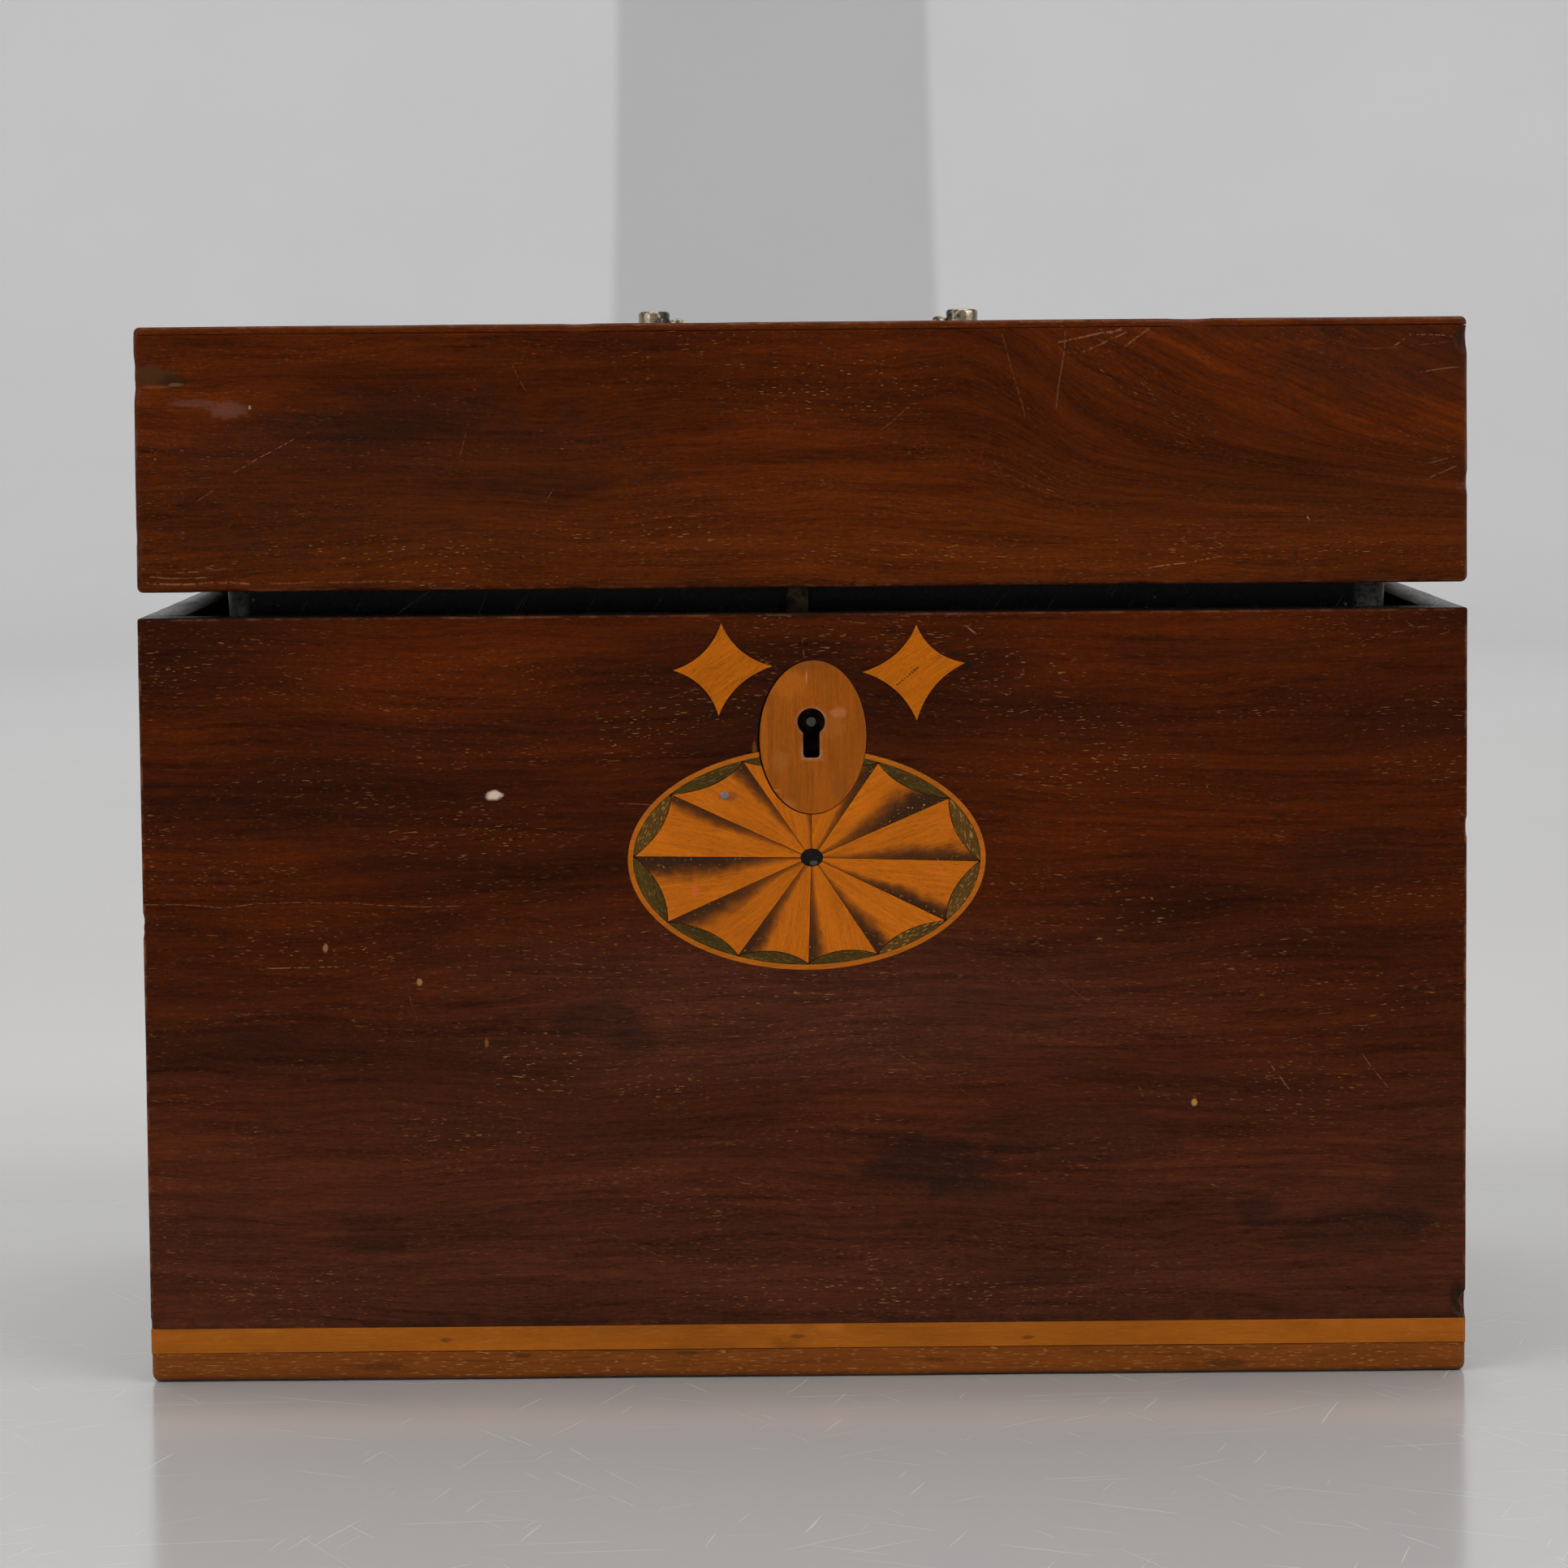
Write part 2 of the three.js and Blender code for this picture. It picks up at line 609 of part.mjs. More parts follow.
function lidShell() {
  const group = new THREE.Group();
  const wallTop = LID_TOP - TOP_SHEET - GAP;
  const strikeReach = STRIKE.halfW + GAP;
  const strikeRecess = box(STAPLE.x - strikeReach, STAPLE.x + strikeReach, STRIKE.front - GAP, -INNER_D + 1,
    LID_BOTTOM - 1, LID_BOTTOM + LOCK.plate + GAP);
  const front = cut(
    box(-HALF_W, HALF_W, -HALF_D, -INNER_D, LID_BOTTOM, wallTop),
    strikeRecess,
    ...strikeScrewPlaces().map((x) => strikeHole(x)),
  );
  const back = cut(
    box(-HALF_W, HALF_W, INNER_D, HALF_D, LID_BOTTOM, wallTop),
    ...hingeRecesses(LID_BOTTOM, -1),
  );
  group.add(meshOf('lid_front', front, lidMahogany));
  group.add(meshOf('lid_back', back, lidMahogany));
  for (const [side, name] of [[-1, 'lid_left'], [1, 'lid_right']]) {
    const outer = side * HALF_W;
    const inner = side * INNER_W;
    const [x0, x1] = [Math.min(outer, inner), Math.max(outer, inner)];
    const wall = box(x0, x1, -INNER_D + GAP, INNER_D - GAP, LID_BOTTOM, wallTop);
    group.add(meshOf(name, wall, lidMahogany));
  }
  const panelX = INNER_W - GAP;
  const panelY = INNER_D - GAP;
  const top = cut(
    joined(
      box(-HALF_W, HALF_W, -HALF_D, HALF_D, LID_TOP - TOP_SHEET, LID_TOP),
      box(-panelX, panelX, -panelY, panelY, PANEL_BOTTOM, LID_TOP - TOP_SHEET / 2),
    ),
    ...postPlaces().map((x) => bar(2, SHANK_R + GAP, [x, 0, PANEL_BOTTOM - 1], [x, 0, LID_TOP + 1])),
  );
  group.add(meshOf('lid_top', top, lidMahogany));
  return group;
}

// --- handle -------------------------------------------------------------------

function postPlaces() {
  return [HANDLE_X - POST_SPREAD, HANDLE_X + POST_SPREAD];
}

// A short drum with a threaded shank through the lid and a bore for the bail.
function post(x) {
  const seat = GAP;
  const shankBottom = PANEL_BOTTOM - GAP - NUT.height - 0.7 - LID_TOP;
  const profile = [
    [0, shankBottom], [SHANK_R, shankBottom], [SHANK_R, seat], [POST_R, seat],
    [POST_R, POST_HEIGHT - 0.7], [POST_R - 0.2, POST_HEIGHT - 0.22],
    [POST_R - 0.65, POST_HEIGHT - 0.04], [0, POST_HEIGHT],
  ];
  const inward = Math.sign(HANDLE_X - x);
  const z = LID_TOP + PIVOT_HEIGHT;
  return cut(
    turned(profile, x, 0, LID_TOP, 22),
    bar(0, 1.1, [x - inward * 0.2, 0, z], [x + inward * 6, 0, z], 16),
  );
}

function nut(x) {
  const top = PANEL_BOTTOM - GAP;
  return cut(
    box(x - NUT.half, x + NUT.half, -NUT.half, NUT.half, top - NUT.height, top),
    bar(2, SHANK_R + GAP, [x, 0, top - NUT.height - 1], [x, 0, top + 1]),
  );
}

// The bail, drawn flat about its own pivot with the grip towards +Y.
function bailBody() {
  const { armX, reach, corner, rod, grip, gripHalf, bossR } = BAIL;
  const path = new THREE.CurvePath();
  const at = (x, y) => new THREE.Vector3(x, y, 0);
  const bendStart = reach - corner;
  const gripEnd = armX - corner;
  path.add(new THREE.LineCurve3(at(-armX, 0), at(-armX, bendStart)));
  path.add(new THREE.QuadraticBezierCurve3(at(-armX, bendStart), at(-armX, reach), at(-gripEnd, reach)));
  path.add(new THREE.LineCurve3(at(-gripEnd, reach), at(gripEnd, reach)));
  path.add(new THREE.QuadraticBezierCurve3(at(gripEnd, reach), at(armX, reach), at(armX, bendStart)));
  path.add(new THREE.LineCurve3(at(armX, bendStart), at(armX, 0)));
  const section = new THREE.Shape();
  section.absarc(0, 0, rod, 0, Math.PI * 2, false);
  const settings = { steps: 34, curveSegments: 4, bevelEnabled: false, extrudePath: path };
  const hoop = new THREE.ExtrudeGeometry(section, settings);
  const swell = [[0, -gripHalf], [rod * 0.9, -gripHalf], [grip * 0.92, -gripHalf / 2], [grip, 0],
    [grip * 0.92, gripHalf / 2], [rod * 0.9, gripHalf], [0, gripHalf]];
  const gripBody = turned(swell, 0, 0, 0, 12).rotate([0, 90, 0]).translate([0, reach, 0]);
  const ends = [-1, 1].flatMap((side) => [
    bar(0, bossR, [side * (armX - 1), 0, 0], [side * (armX + 1), 0, 0], 16),
    bar(0, 0.8, [side * armX, 0, 0], [side * (POST_SPREAD - 0.3), 0, 0], 16),
  ]);
  return joined(solid(hoop), gripBody, ...ends);
}

function handle() {
  const group = new THREE.Group();
  postPlaces().forEach((x, i) => {
    const side = ['left', 'right'][i];
    group.add(meshOf(`${side}_post`, post(x), silvered));
    group.add(meshOf(`${side}_post_nut`, nut(x), brass));
  });
  const bail = meshOf('bail', bailBody(), silvered);
  bail.position.set(HANDLE_X, 0, LID_TOP + PIVOT_HEIGHT);
  bail.rotation.x = -BAIL_DROOP;
  group.add(bail);
  return group;
}

// --- tin insert ---------------------------------------------------------------

function roundedRect(x0, x1, y0, y1, radius) {
  const shape = new THREE.Shape();
  shape.moveTo(x0 + radius, y0);
  shape.lineTo(x1 - radius, y0);
  shape.absarc(x1 - radius, y0 + radius, radius, -Math.PI / 2, 0, false);
  shape.lineTo(x1, y1 - radius);
  shape.absarc(x1 - radius, y1 - radius, radius, 0, Math.PI / 2, false);
  shape.lineTo(x0 + radius, y1);
  shape.absarc(x0 + radius, y1 - radius, radius, Math.PI / 2, Math.PI, false);
  shape.lineTo(x0, y0 + radius);
  shape.absarc(x0 + radius, y0 + radius, radius, Math.PI, Math.PI * 1.5, false);
  return shape;
}

// The two compartments, left and right of the partition, shrunk by a margin all round.
function compartment(side, margin) {
  const { x, halfW, halfD, sheet, corner } = TIN;
  const inner = x + side * (sheet / 2 + margin);
  const outer = x + side * (halfW - sheet - margin);
  const y = halfD - sheet - margin;
  return roundedRect(Math.min(inner, outer), Math.max(inner, outer), -y, y, corner - sheet - margin / 2);
}

function tinBox() {
  const { x, halfW, halfD, top, sheet, corner } = TIN;
  return cut(
    flatPlate(roundedRect(x - halfW, x + halfW, -halfD, halfD, corner), TIN_BOTTOM, top),
    flatPlate(compartment(-1, 0), TIN_BOTTOM + sheet, top + 1),
    flatPlate(compartment(1, 0), TIN_BOTTOM + sheet, top + 1),
  );
}

function coverCentre(side) {
  return TIN.x + side * TIN.halfW / 2;
}

function tinCover(side) {
  const { x, halfW, halfD, top, sheet, corner } = TIN;
  const { plate, skirt, fit } = COVER;
  const inner = x + side * GAP / 2;
  const outer = x + side * halfW;
  const lip = roundedRect(Math.min(inner, outer), Math.max(inner, outer), -halfD, halfD, corner);
  const under = top + GAP;
  const middle = coverCentre(side);
  return cut(
    joined(
      flatPlate(lip, under, under + plate),
      cut(
        flatPlate(compartment(side, fit), under - skirt, under + plate / 2),
        flatPlate(compartment(side, fit + sheet), under - skirt - 1, under),
      ),
    ),
    bar(2, 1.3, [middle, 0, under - 1], [middle, 0, under + plate + 1], 14),
  );
}

// A turned knob riveted through its cover.
function coverKnob(side) {
  const { foot, neck, ball, height } = KNOB;
  const seat = TIN.top + GAP + COVER.plate + GAP;
  const profile = [
    [0, -2.2], [1, -2.2], [1, 0], [foot, 0], [foot, 0.6], [neck + 0.4, 1.5], [neck, 2.6],
    [ball * 0.8, 4.1], [ball, 5.8], [ball * 0.85, 7.6], [ball * 0.4, height - 0.2], [0, height],
  ];
  return turned(profile, coverCentre(side), 0, seat, 18);
}

function tinInsert() {
  const group = new THREE.Group();
  group.add(meshOf('tin_box', tinBox(), tin));
  for (const [side, name] of [[-1, 'left'], [1, 'right']]) {
    group.add(meshOf(`${name}_cover`, tinCover(side), tin));
    group.add(meshOf(`${name}_cover_knob`, coverKnob(side), brass));
  }
  return group;
}

// --- assembly -----------------------------------------------------------------

function caddy() {
  const whole = new THREE.Group();
  whole.add(caseWalls(), edging(), inlays(), lock());
  whole.add(hingeHalf('case', CASE_HEIGHT, 1), hingePins(), tinInsert());

  const lid = new THREE.Group();
  const closed = new THREE.Group();
  lid.position.set(0, HINGE_AXIS.y, HINGE_AXIS.z);
  lid.rotation.x = -LID_AJAR;
  closed.position.set(0, -HINGE_AXIS.y, -HINGE_AXIS.z);
  closed.add(lidShell(), hingeHalf('lid', LID_BOTTOM, -1), handle());
  closed.add(meshOf('strike_plate', strikePlate(), brass));
  strikeScrewPlaces().forEach((x, i) => {
    closed.add(meshOf(`strike_screw_${i + 1}`, strikeScrew(x), steel));
  });
  lid.add(closed);
  whole.add(lid);
  return whole;
}

export default caddy();
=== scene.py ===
"""The looks of a mahogany tea caddy with a satinwood fan, an oval key plate and two lozenges.

Lengths are in millimetres until a mesh is made, and angles are in degrees unless a name says
otherwise. The lid and what it carries are drawn closed, then turned about the hinge to stand ajar.
"""

import json
import math

import bmesh
import bpy
import numpy as np
from mathutils import Matrix, Vector


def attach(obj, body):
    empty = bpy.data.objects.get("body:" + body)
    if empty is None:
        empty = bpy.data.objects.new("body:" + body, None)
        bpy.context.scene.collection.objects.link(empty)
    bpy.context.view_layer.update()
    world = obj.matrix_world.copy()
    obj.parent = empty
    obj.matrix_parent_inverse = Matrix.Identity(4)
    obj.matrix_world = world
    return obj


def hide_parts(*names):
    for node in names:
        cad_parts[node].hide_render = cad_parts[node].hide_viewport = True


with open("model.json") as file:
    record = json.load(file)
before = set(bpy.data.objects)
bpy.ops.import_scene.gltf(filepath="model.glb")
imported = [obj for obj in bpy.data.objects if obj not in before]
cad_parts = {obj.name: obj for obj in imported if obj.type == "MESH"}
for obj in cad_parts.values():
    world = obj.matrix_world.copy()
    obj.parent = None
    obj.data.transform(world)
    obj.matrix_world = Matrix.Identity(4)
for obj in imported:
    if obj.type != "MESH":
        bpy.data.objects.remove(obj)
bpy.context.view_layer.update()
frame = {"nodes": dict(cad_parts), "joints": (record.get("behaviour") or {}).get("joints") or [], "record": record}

MM = 0.001

# --- the frame ----------------------------------------------------------------

BODIES = frame["record"]["behaviour"]["bodies"]
JOINTS = {joint["name"]: joint for joint in frame["joints"]}
HINGE = Vector(JOINTS["lid_hinge"]["pos_m"])
AJAR = math.radians(-JOINTS["lid_hinge"]["range_deg"][0])
LID_REST = Matrix.Translation(HINGE) @ Matrix.Rotation(-AJAR, 4, "X") @ Matrix.Translation(-HINGE)
ON_LID = ("lid", "bail")


def closed_points(node):
    """A CAD node's vertices in mm. What rides on the lid is turned back to its closed place."""
    turned_back = any(node in BODIES[body] for body in ON_LID)
    turn = LID_REST.inverted() if turned_back else Matrix.Identity(4)
    return np.array([turn @ v.co for v in frame["nodes"][node].data.vertices]) / MM


def extent(*nodes):
    """The lowest and highest corners of some CAD nodes, in mm."""
    points = np.concatenate([closed_points(node) for node in nodes])
    return points.min(0), points.max(0)


FRONT_LO, FRONT_HI = extent("front_wall")
CASE_LO, CASE_HI = extent("front_wall", "back_wall", "left_wall", "right_wall")
LID_LO, LID_HI = extent("lid_front", "lid_back", "lid_left", "lid_right", "lid_top")
FACE = CASE_LO[1]
HALF_X, HALF_Y = CASE_HI[0], CASE_HI[1]
WALL = FRONT_HI[1] - FRONT_LO[1]
INNER_X, INNER_Y = HALF_X - WALL, HALF_Y - WALL
CASE_SHELL, LID_SHELL = (CASE_LO, CASE_HI), (LID_LO, LID_HI)
EDGING_DEPTH = 3.0
EDGING_TOP = extent("front_string")[1][2]
SEAM = 0.04

# --- colour and node formulas ---------------------------------------------------


def tone(red, green, blue):
    """A linear colour from display values of 0 to 255."""
    def linear(value):
        value /= 255
        return value / 12.92 if value <= 0.04045 else ((value + 0.055) / 1.055) ** 2.4
    return (linear(red), linear(green), linear(blue), 1.0)


class Value:
    """A socket that can stand in a formula."""

    def __init__(self, graph, socket):
        self.graph, self.socket = graph, socket

    def __add__(self, other):
        return self.graph.math("ADD", self, other)

    def __sub__(self, other):
        return self.graph.math("SUBTRACT", self, other)

    def __rsub__(self, other):
        return self.graph.math("SUBTRACT", other, self)

    def __mul__(self, other):
        return self.graph.math("MULTIPLY", self, other)

    def __truediv__(self, other):
        return self.graph.math("DIVIDE", self, other)

    def __abs__(self):
        return self.graph.math("ABSOLUTE", self)

    __radd__ = __add__
    __rmul__ = __mul__


class Graph:
    """One material, written as formulas over the place on the piece in mm."""

    def __init__(self, name):
        self.material = bpy.data.materials.new(name)
        self.material.use_nodes = True
        self.nodes = self.material.node_tree.nodes
        self.links = self.material.node_tree.links
        self.shader = self.nodes["Principled BSDF"]

    def node(self, kind, inputs, output=0, **settings):
        made = self.nodes.new("ShaderNode" + kind)
        for key, value in settings.items():
            setattr(made, key, value)
        for key, value in inputs.items():
            self.feed(made.inputs[key], value)
        return Value(self, made.outputs[output])

    def feed(self, socket, value):
        if isinstance(value, Value):
            self.links.new(value.socket, socket)
        else:
            socket.default_value = value

    def math(self, operation, *values):
        return self.node("Math", dict(enumerate(values)), operation=operation)

    def least(self, a, b):
        return self.math("MINIMUM", a, b)

    def most(self, a, b):
        return self.math("MAXIMUM", a, b)

    def place(self):
        """The x, y and z of the shaded point, in mm."""
        place = self.node("TexCoord", {}, output=3)
        scaled = self.node("VectorMath", {0: place, "Scale": 1 / MM}, operation="SCALE")
        split = self.nodes.new("ShaderNodeSeparateXYZ")
        self.feed(split.inputs[0], scaled)
        return [Value(self, output) for output in split.outputs]

    def noise(self, place, sizes, seed, detail=1.0, rough=0.5):
        """Smooth noise of 0 to 1, with swells of these sizes along the three parts of place."""
        sizes = sizes if isinstance(sizes, tuple) else (sizes,) * 3
        parts = [part if size == 1 else part / size for part, size in zip(place, sizes)]
        at = self.node("CombineXYZ", dict(enumerate(parts)))
        shift = (seed * 7.31, seed * 3.17, seed * 5.77)
        moved = self.node("VectorMath", {0: at, 1: shift}, operation="ADD")
        return self.node("TexNoise", {"Vector": moved, "Scale": 1.0, "Detail": detail, "Roughness": rough})

    def step(self, value, low, high):
        """0 at low, 1 at high, smooth between. Low may be the larger."""
        span = {0: value, 1: low, 2: high, 3: 0.0, 4: 1.0}
        if low > high:
            span = {0: value, 1: high, 2: low, 3: 1.0, 4: 0.0}
        return self.node("MapRange", span, interpolation_type="SMOOTHSTEP")

    def mix(self, share, a, b):
        return self.node("Mix", {0: share, 6: a, 7: b}, output=2, data_type="RGBA", clamp_factor=True)

    def scale(self, colour, amount):
        """A colour made lighter or darker by an amount."""
        fixed = colour if isinstance(colour, Value) else colour[:3]
        return self.node("VectorMath", {0: fixed, "Scale": amount}, operation="SCALE")

    def strokes(self, place, seed, angle, length, width, rare):
        """1 along straight thin strokes that lie at this angle in the plane of x and y."""
        x, y, z = place
        cos, sin = math.cos(math.radians(angle)), math.sin(math.radians(angle))
        along = x * cos + y * sin
        across = y * cos - x * sin + z * 0.6
        wander = self.noise((along / length, across, z), (2, length, length), seed) - 0.5
        drawn = self.noise((along, across + wander * length * 0.3, z), (length, width, length), seed + 1)
        return self.step(drawn, rare, rare + 0.04)

    def surface(self, colour, roughness, height=None, **fixed):
        """Joins the formulas to the shader. Height is in mm, and fixed values go on its own sockets."""
        self.feed(self.shader.inputs["Base Color"], colour)
        self.feed(self.shader.inputs["Roughness"], roughness)
        for key, value in fixed.items():
            self.shader.inputs[key.replace("_", " ")].default_value = value
        if height is not None:
            normal = self.node("Bump", {"Height": height, "Distance": MM, "Strength": 1.0})
            self.feed(self.shader.inputs["Normal"], normal)
        return self.material


# --- woods --------------------------------------------------------------------

# For each outer face: the axis the grain runs along, the axis up the board, the axis into it,
# and which way is out.
FACES = {
    "front": (0, 2, 1, -1), "back": (0, 2, 1, 1),
    "left": (1, 2, 0, -1), "right": (1, 2, 0, 1), "top": (0, 1, 2, 1),
}
LID_TONES = {"light": tone(76, 28, 2), "dark": tone(50, 16, 1), "low": tone(73, 29, 3)}
CASE_TONES = {"light": tone(68, 23, 1), "dark": tone(44, 14, 2), "low": tone(68, 33, 20)}
STRING_TONES = (tone(144, 78, 12), tone(112, 57, 10))
FOOT_TONES = (tone(110, 56, 12), tone(74, 36, 8))
DULL_WOOD = tone(74, 44, 28)
# A dark dirt colour, also used for painted shade on the case rim and along the foot's lowest edge.
GRIME_AND_SHADE = tone(24, 17, 13)
WORN = tone(140, 92, 62)
FILLED_PORE = tone(176, 128, 74)


def oval_distance(g, run, rise, centre, radii):
    across = (run - centre[0]) / radii[0]
    up = (rise - centre[1]) / radii[1]
    return g.math("SQRT", across * across + up * up)


def blot(g, run, rise, ragged, centre, radii):
    """1 inside a ragged oval spot, fading out at its edge."""
    return g.step(oval_distance(g, run, rise, centre, radii) + ragged, 1.15, 0.55)


def scratch(g, run, rise, wander, start, end, width):
    """1 along a thin broken line from start to end."""
    length = math.dist(start, end)
    ux, uz = (end[0] - start[0]) / length, (end[1] - start[1]) / length
    along = (run - start[0]) * ux + (rise - start[1]) * uz
    across = (run - start[0]) * -uz + (rise - start[1]) * ux
    inside = g.step(along, 0.0, 0.8) * g.step(along, length, length - 0.8)
    return g.step(abs(across + wander), width, 0.0) * inside


def edge_distance(g, xyz, lo, hi):
    """How far the nearest edge of the box from lo to hi is, for a point on one of its faces."""
    a, b, c = [g.least(p - lo[i], hi[i] - p) for i, p in enumerate(xyz)]
    return a + b + c - g.least(g.least(a, b), c) - g.most(g.most(a, b), c)


def mahogany(name, face, on_lid, seed, stains=(), patches=(), scratches=(), specks=(), paler=(), swirl=None):
    """Old polished mahogany. Marks are listed as places on the face, along the grain and up it."""
    g = Graph(name)
    xyz = g.place()
    run_axis, rise_axis, deep_axis, outward = FACES[face]
    flat = run, rise, deep = xyz[run_axis], xyz[rise_axis], xyz[deep_axis]
    lo, hi = LID_SHELL if on_lid else CASE_SHELL
    tones = LID_TONES if on_lid else CASE_TONES
    sunk = deep - lo[deep_axis] if outward < 0 else hi[deep_axis] - deep
    on_face = g.step(sunk, 1.4, 0.7)

    wave = g.noise(flat, (80, 28, 28), seed, 2.0) - 0.5
    level = rise + wave * 11
    if swirl:
        level = level + swirl(g, run, rise)
    grain = (run, level, deep)
    drift = g.noise(grain, (85, 21, 21), seed + 3, 2.0)
    band = g.noise(grain, (50, 4.5, 4.5), seed + 7, 3.0, 0.6)
    streak = g.noise(grain, (22, 1.1, 1.1), seed + 11, 2.0, 0.6)
    fibre = g.noise(grain, (3.2, 0.26, 0.26), seed + 17)
    mottle = g.noise(flat, (0.9, 0.7, 0.7), seed + 23, 2.0, 0.6)
    colour = g.mix(g.step(drift, 0.3, 0.7), tones["dark"], tones["light"])
    foot, height = lo[rise_axis], hi[rise_axis] - lo[rise_axis]
    # The lower part of the face and the listed paler patches are turned towards the 'low' tone.
    lighter_share = g.step(rise, foot + height * 0.62, foot + height * 0.1) * 0.8
    for centre, radii, strength in paler:
        lighter_share = g.most(lighter_share, g.step(oval_distance(g, run, level, centre, radii), 1.1, 0.1) * strength)
    colour = g.mix(lighter_share, colour, tones["low"])
    shade = 1.0 + (band - 0.5) * 1.2 + (streak - 0.5) * 1.3 + (fibre - 0.5) * 0.9 + (mottle - 0.5) * 0.6
    colour = g.scale(colour, shade)

    dark_pore = g.step(g.noise(grain, (1.5, 0.17, 0.17), seed + 31, 0.0), 0.64, 0.74)
    colour = g.mix(dark_pore * 0.65, colour, GRIME_AND_SHADE)
    field = g.noise(grain, (34, 8, 8), seed + 37)
    sown = g.step(field, 0.40, 0.75) * 0.5 + 0.12
    for centre, radii, thick in specks:
        sown = g.most(sown, g.step(oval_distance(g, run, rise, centre, radii), 1.2, 0.1) * thick)
    pale_pore = g.step(g.noise(grain, (1.2, 0.2, 0.2), seed + 41, 0.0), 0.745, 0.80) * sown
    colour = g.mix(pale_pore * 0.5, colour, FILLED_PORE)

    ragged = (g.noise(flat, (5, 2.2, 5), seed + 43, 3.0, 0.65) - 0.5) * 1.6
    for centre, radii, strength in stains:
        colour = g.mix(blot(g, run, rise, ragged, centre, radii) * on_face * strength, colour, GRIME_AND_SHADE)
    crisp = (g.noise(flat, (1.6, 1.1, 2), seed + 47, 2.0) - 0.5) * 0.9
    for centre, radii, paint, strength in patches:
        colour = g.mix(blot(g, run, rise, crisp, centre, radii) * on_face * strength, colour, paint)
    wander = (g.noise(flat, 14, seed + 53) - 0.5) * 2.2
    broken = g.step(g.noise(flat, 0.8, seed + 59), 0.36, 0.56)
    cuts = 0.0
    for start, end, width, strength in scratches:
        cuts = g.most(cuts, scratch(g, run, rise, wander, start, end, width) * strength)
    cuts = cuts * broken * on_face
    colour = g.mix(cuts, colour, WORN)

    edge = edge_distance(g, xyz, lo, hi)
    rubbed = g.noise(xyz, 3.5, seed + 61, 3.0, 0.7)
    colour = g.mix(g.step(edge, 0.75, 0.1) * g.step(rubbed, 0.42, 0.66) * 0.5, colour, WORN)
    if not on_lid:
        seam = EDGING_TOP + SEAM
        dirt = g.step(rise, seam + 3.5, seam) * g.step(rubbed, 0.3, 0.7)
        colour = g.mix(dirt * 0.55, colour, GRIME_AND_SHADE)
        # Painted shade: the top edge of the case walls and the top face of the rim, which the lid closes over, are
        # darkened almost to black.
        colour = g.mix(g.step(abs(rise - CASE_HI[2]), 0.45, 0.12) * 0.93, colour, GRIME_AND_SHADE)
    length = INNER_X if run_axis == 0 else INNER_Y + 2
    inside = g.step(sunk, 4.6, 5.4) if face == "top" else g.step(sunk, WALL - 0.7, WALL - 0.3)
    inside = inside * g.step(abs(run), length + 0.6, length - 0.2)
    colour = g.mix(inside, colour, g.scale(DULL_WOOD, 0.55 + band * 0.5 + streak * 0.5))

    polish = 0.24 + (mottle - 0.5) * 0.16 + g.step(field, 0.45, 0.75) * 0.08
    roughness = g.least(polish + inside * 0.4 + dark_pore * 0.2, 0.8)
    swell = g.noise(flat, (26, 15, 15), seed + 67)
    relief = swell * 0.035 + fibre * 0.004 + streak * 0.004 - dark_pore * 0.014 - cuts * 0.02
    return g.surface(colour, roughness, relief - pale_pore * 0.008, Specular_IOR_Level=0.05)


def veneer(name, paint, grain, seed, marks=(), shade=None, edge_tone=None, pores=0.4, figure=0.5,
           pore_tone=tone(84, 44, 14)):
    """A light inlaid wood. Grain is its direction on the front face, in degrees from the level."""
    g = Graph(name)
    x, y, z = g.place()
    cos, sin = math.cos(math.radians(grain)), math.sin(math.radians(grain))
    run = x * cos + z * sin
    rise = z * cos - x * sin
    level = rise + (g.noise((run, rise, y), (16, 6, 6), seed) - 0.5) * 1.6
    fibres = (run, level, y)
    cloud = g.noise(fibres, (11, 4, 6), seed + 3, 2.0, 0.6)
    streak = g.noise(fibres, (9, 0.5, 2), seed + 7, 2.0, 0.6)
    fibre = g.noise(fibres, (1.6, 0.16, 1), seed + 11)
    pore = g.step(g.noise(fibres, (0.9, 0.15, 1), seed + 13, 0.0), 0.64, 0.74)
    amount = 1.0 + (cloud - 0.5) * figure + (streak - 0.5) * 0.7 + (fibre - 0.5) * 0.4
    colour = g.mix(pore * pores, g.scale(paint, amount), pore_tone)
    grit = g.noise((x, z, y), (0.5, 0.5, 1), seed + 19)
    ragged = (g.noise((x, z, y), (2.2, 2.2, 4), seed + 17, 3.0, 0.7) - 0.5) * 1.3
    for centre, radii, mark, strength in marks:
        colour = g.mix(blot(g, x, z, ragged, centre, radii) * strength, colour, mark)
    if shade:
        colour = shade(g, x, z, grit, colour)
    if edge_tone:
        outline, mark = edge_tone
        colour = g.mix(outline(g, x, z, ragged), colour, mark)
    roughness = 0.27 + (grit - 0.5) * 0.2 + pore * 0.15
    relief = fibre * 0.003 + streak * 0.003 - pore * 0.008 + cloud * 0.02
    return g.surface(colour, roughness, relief, Specular_IOR_Level=0.1)


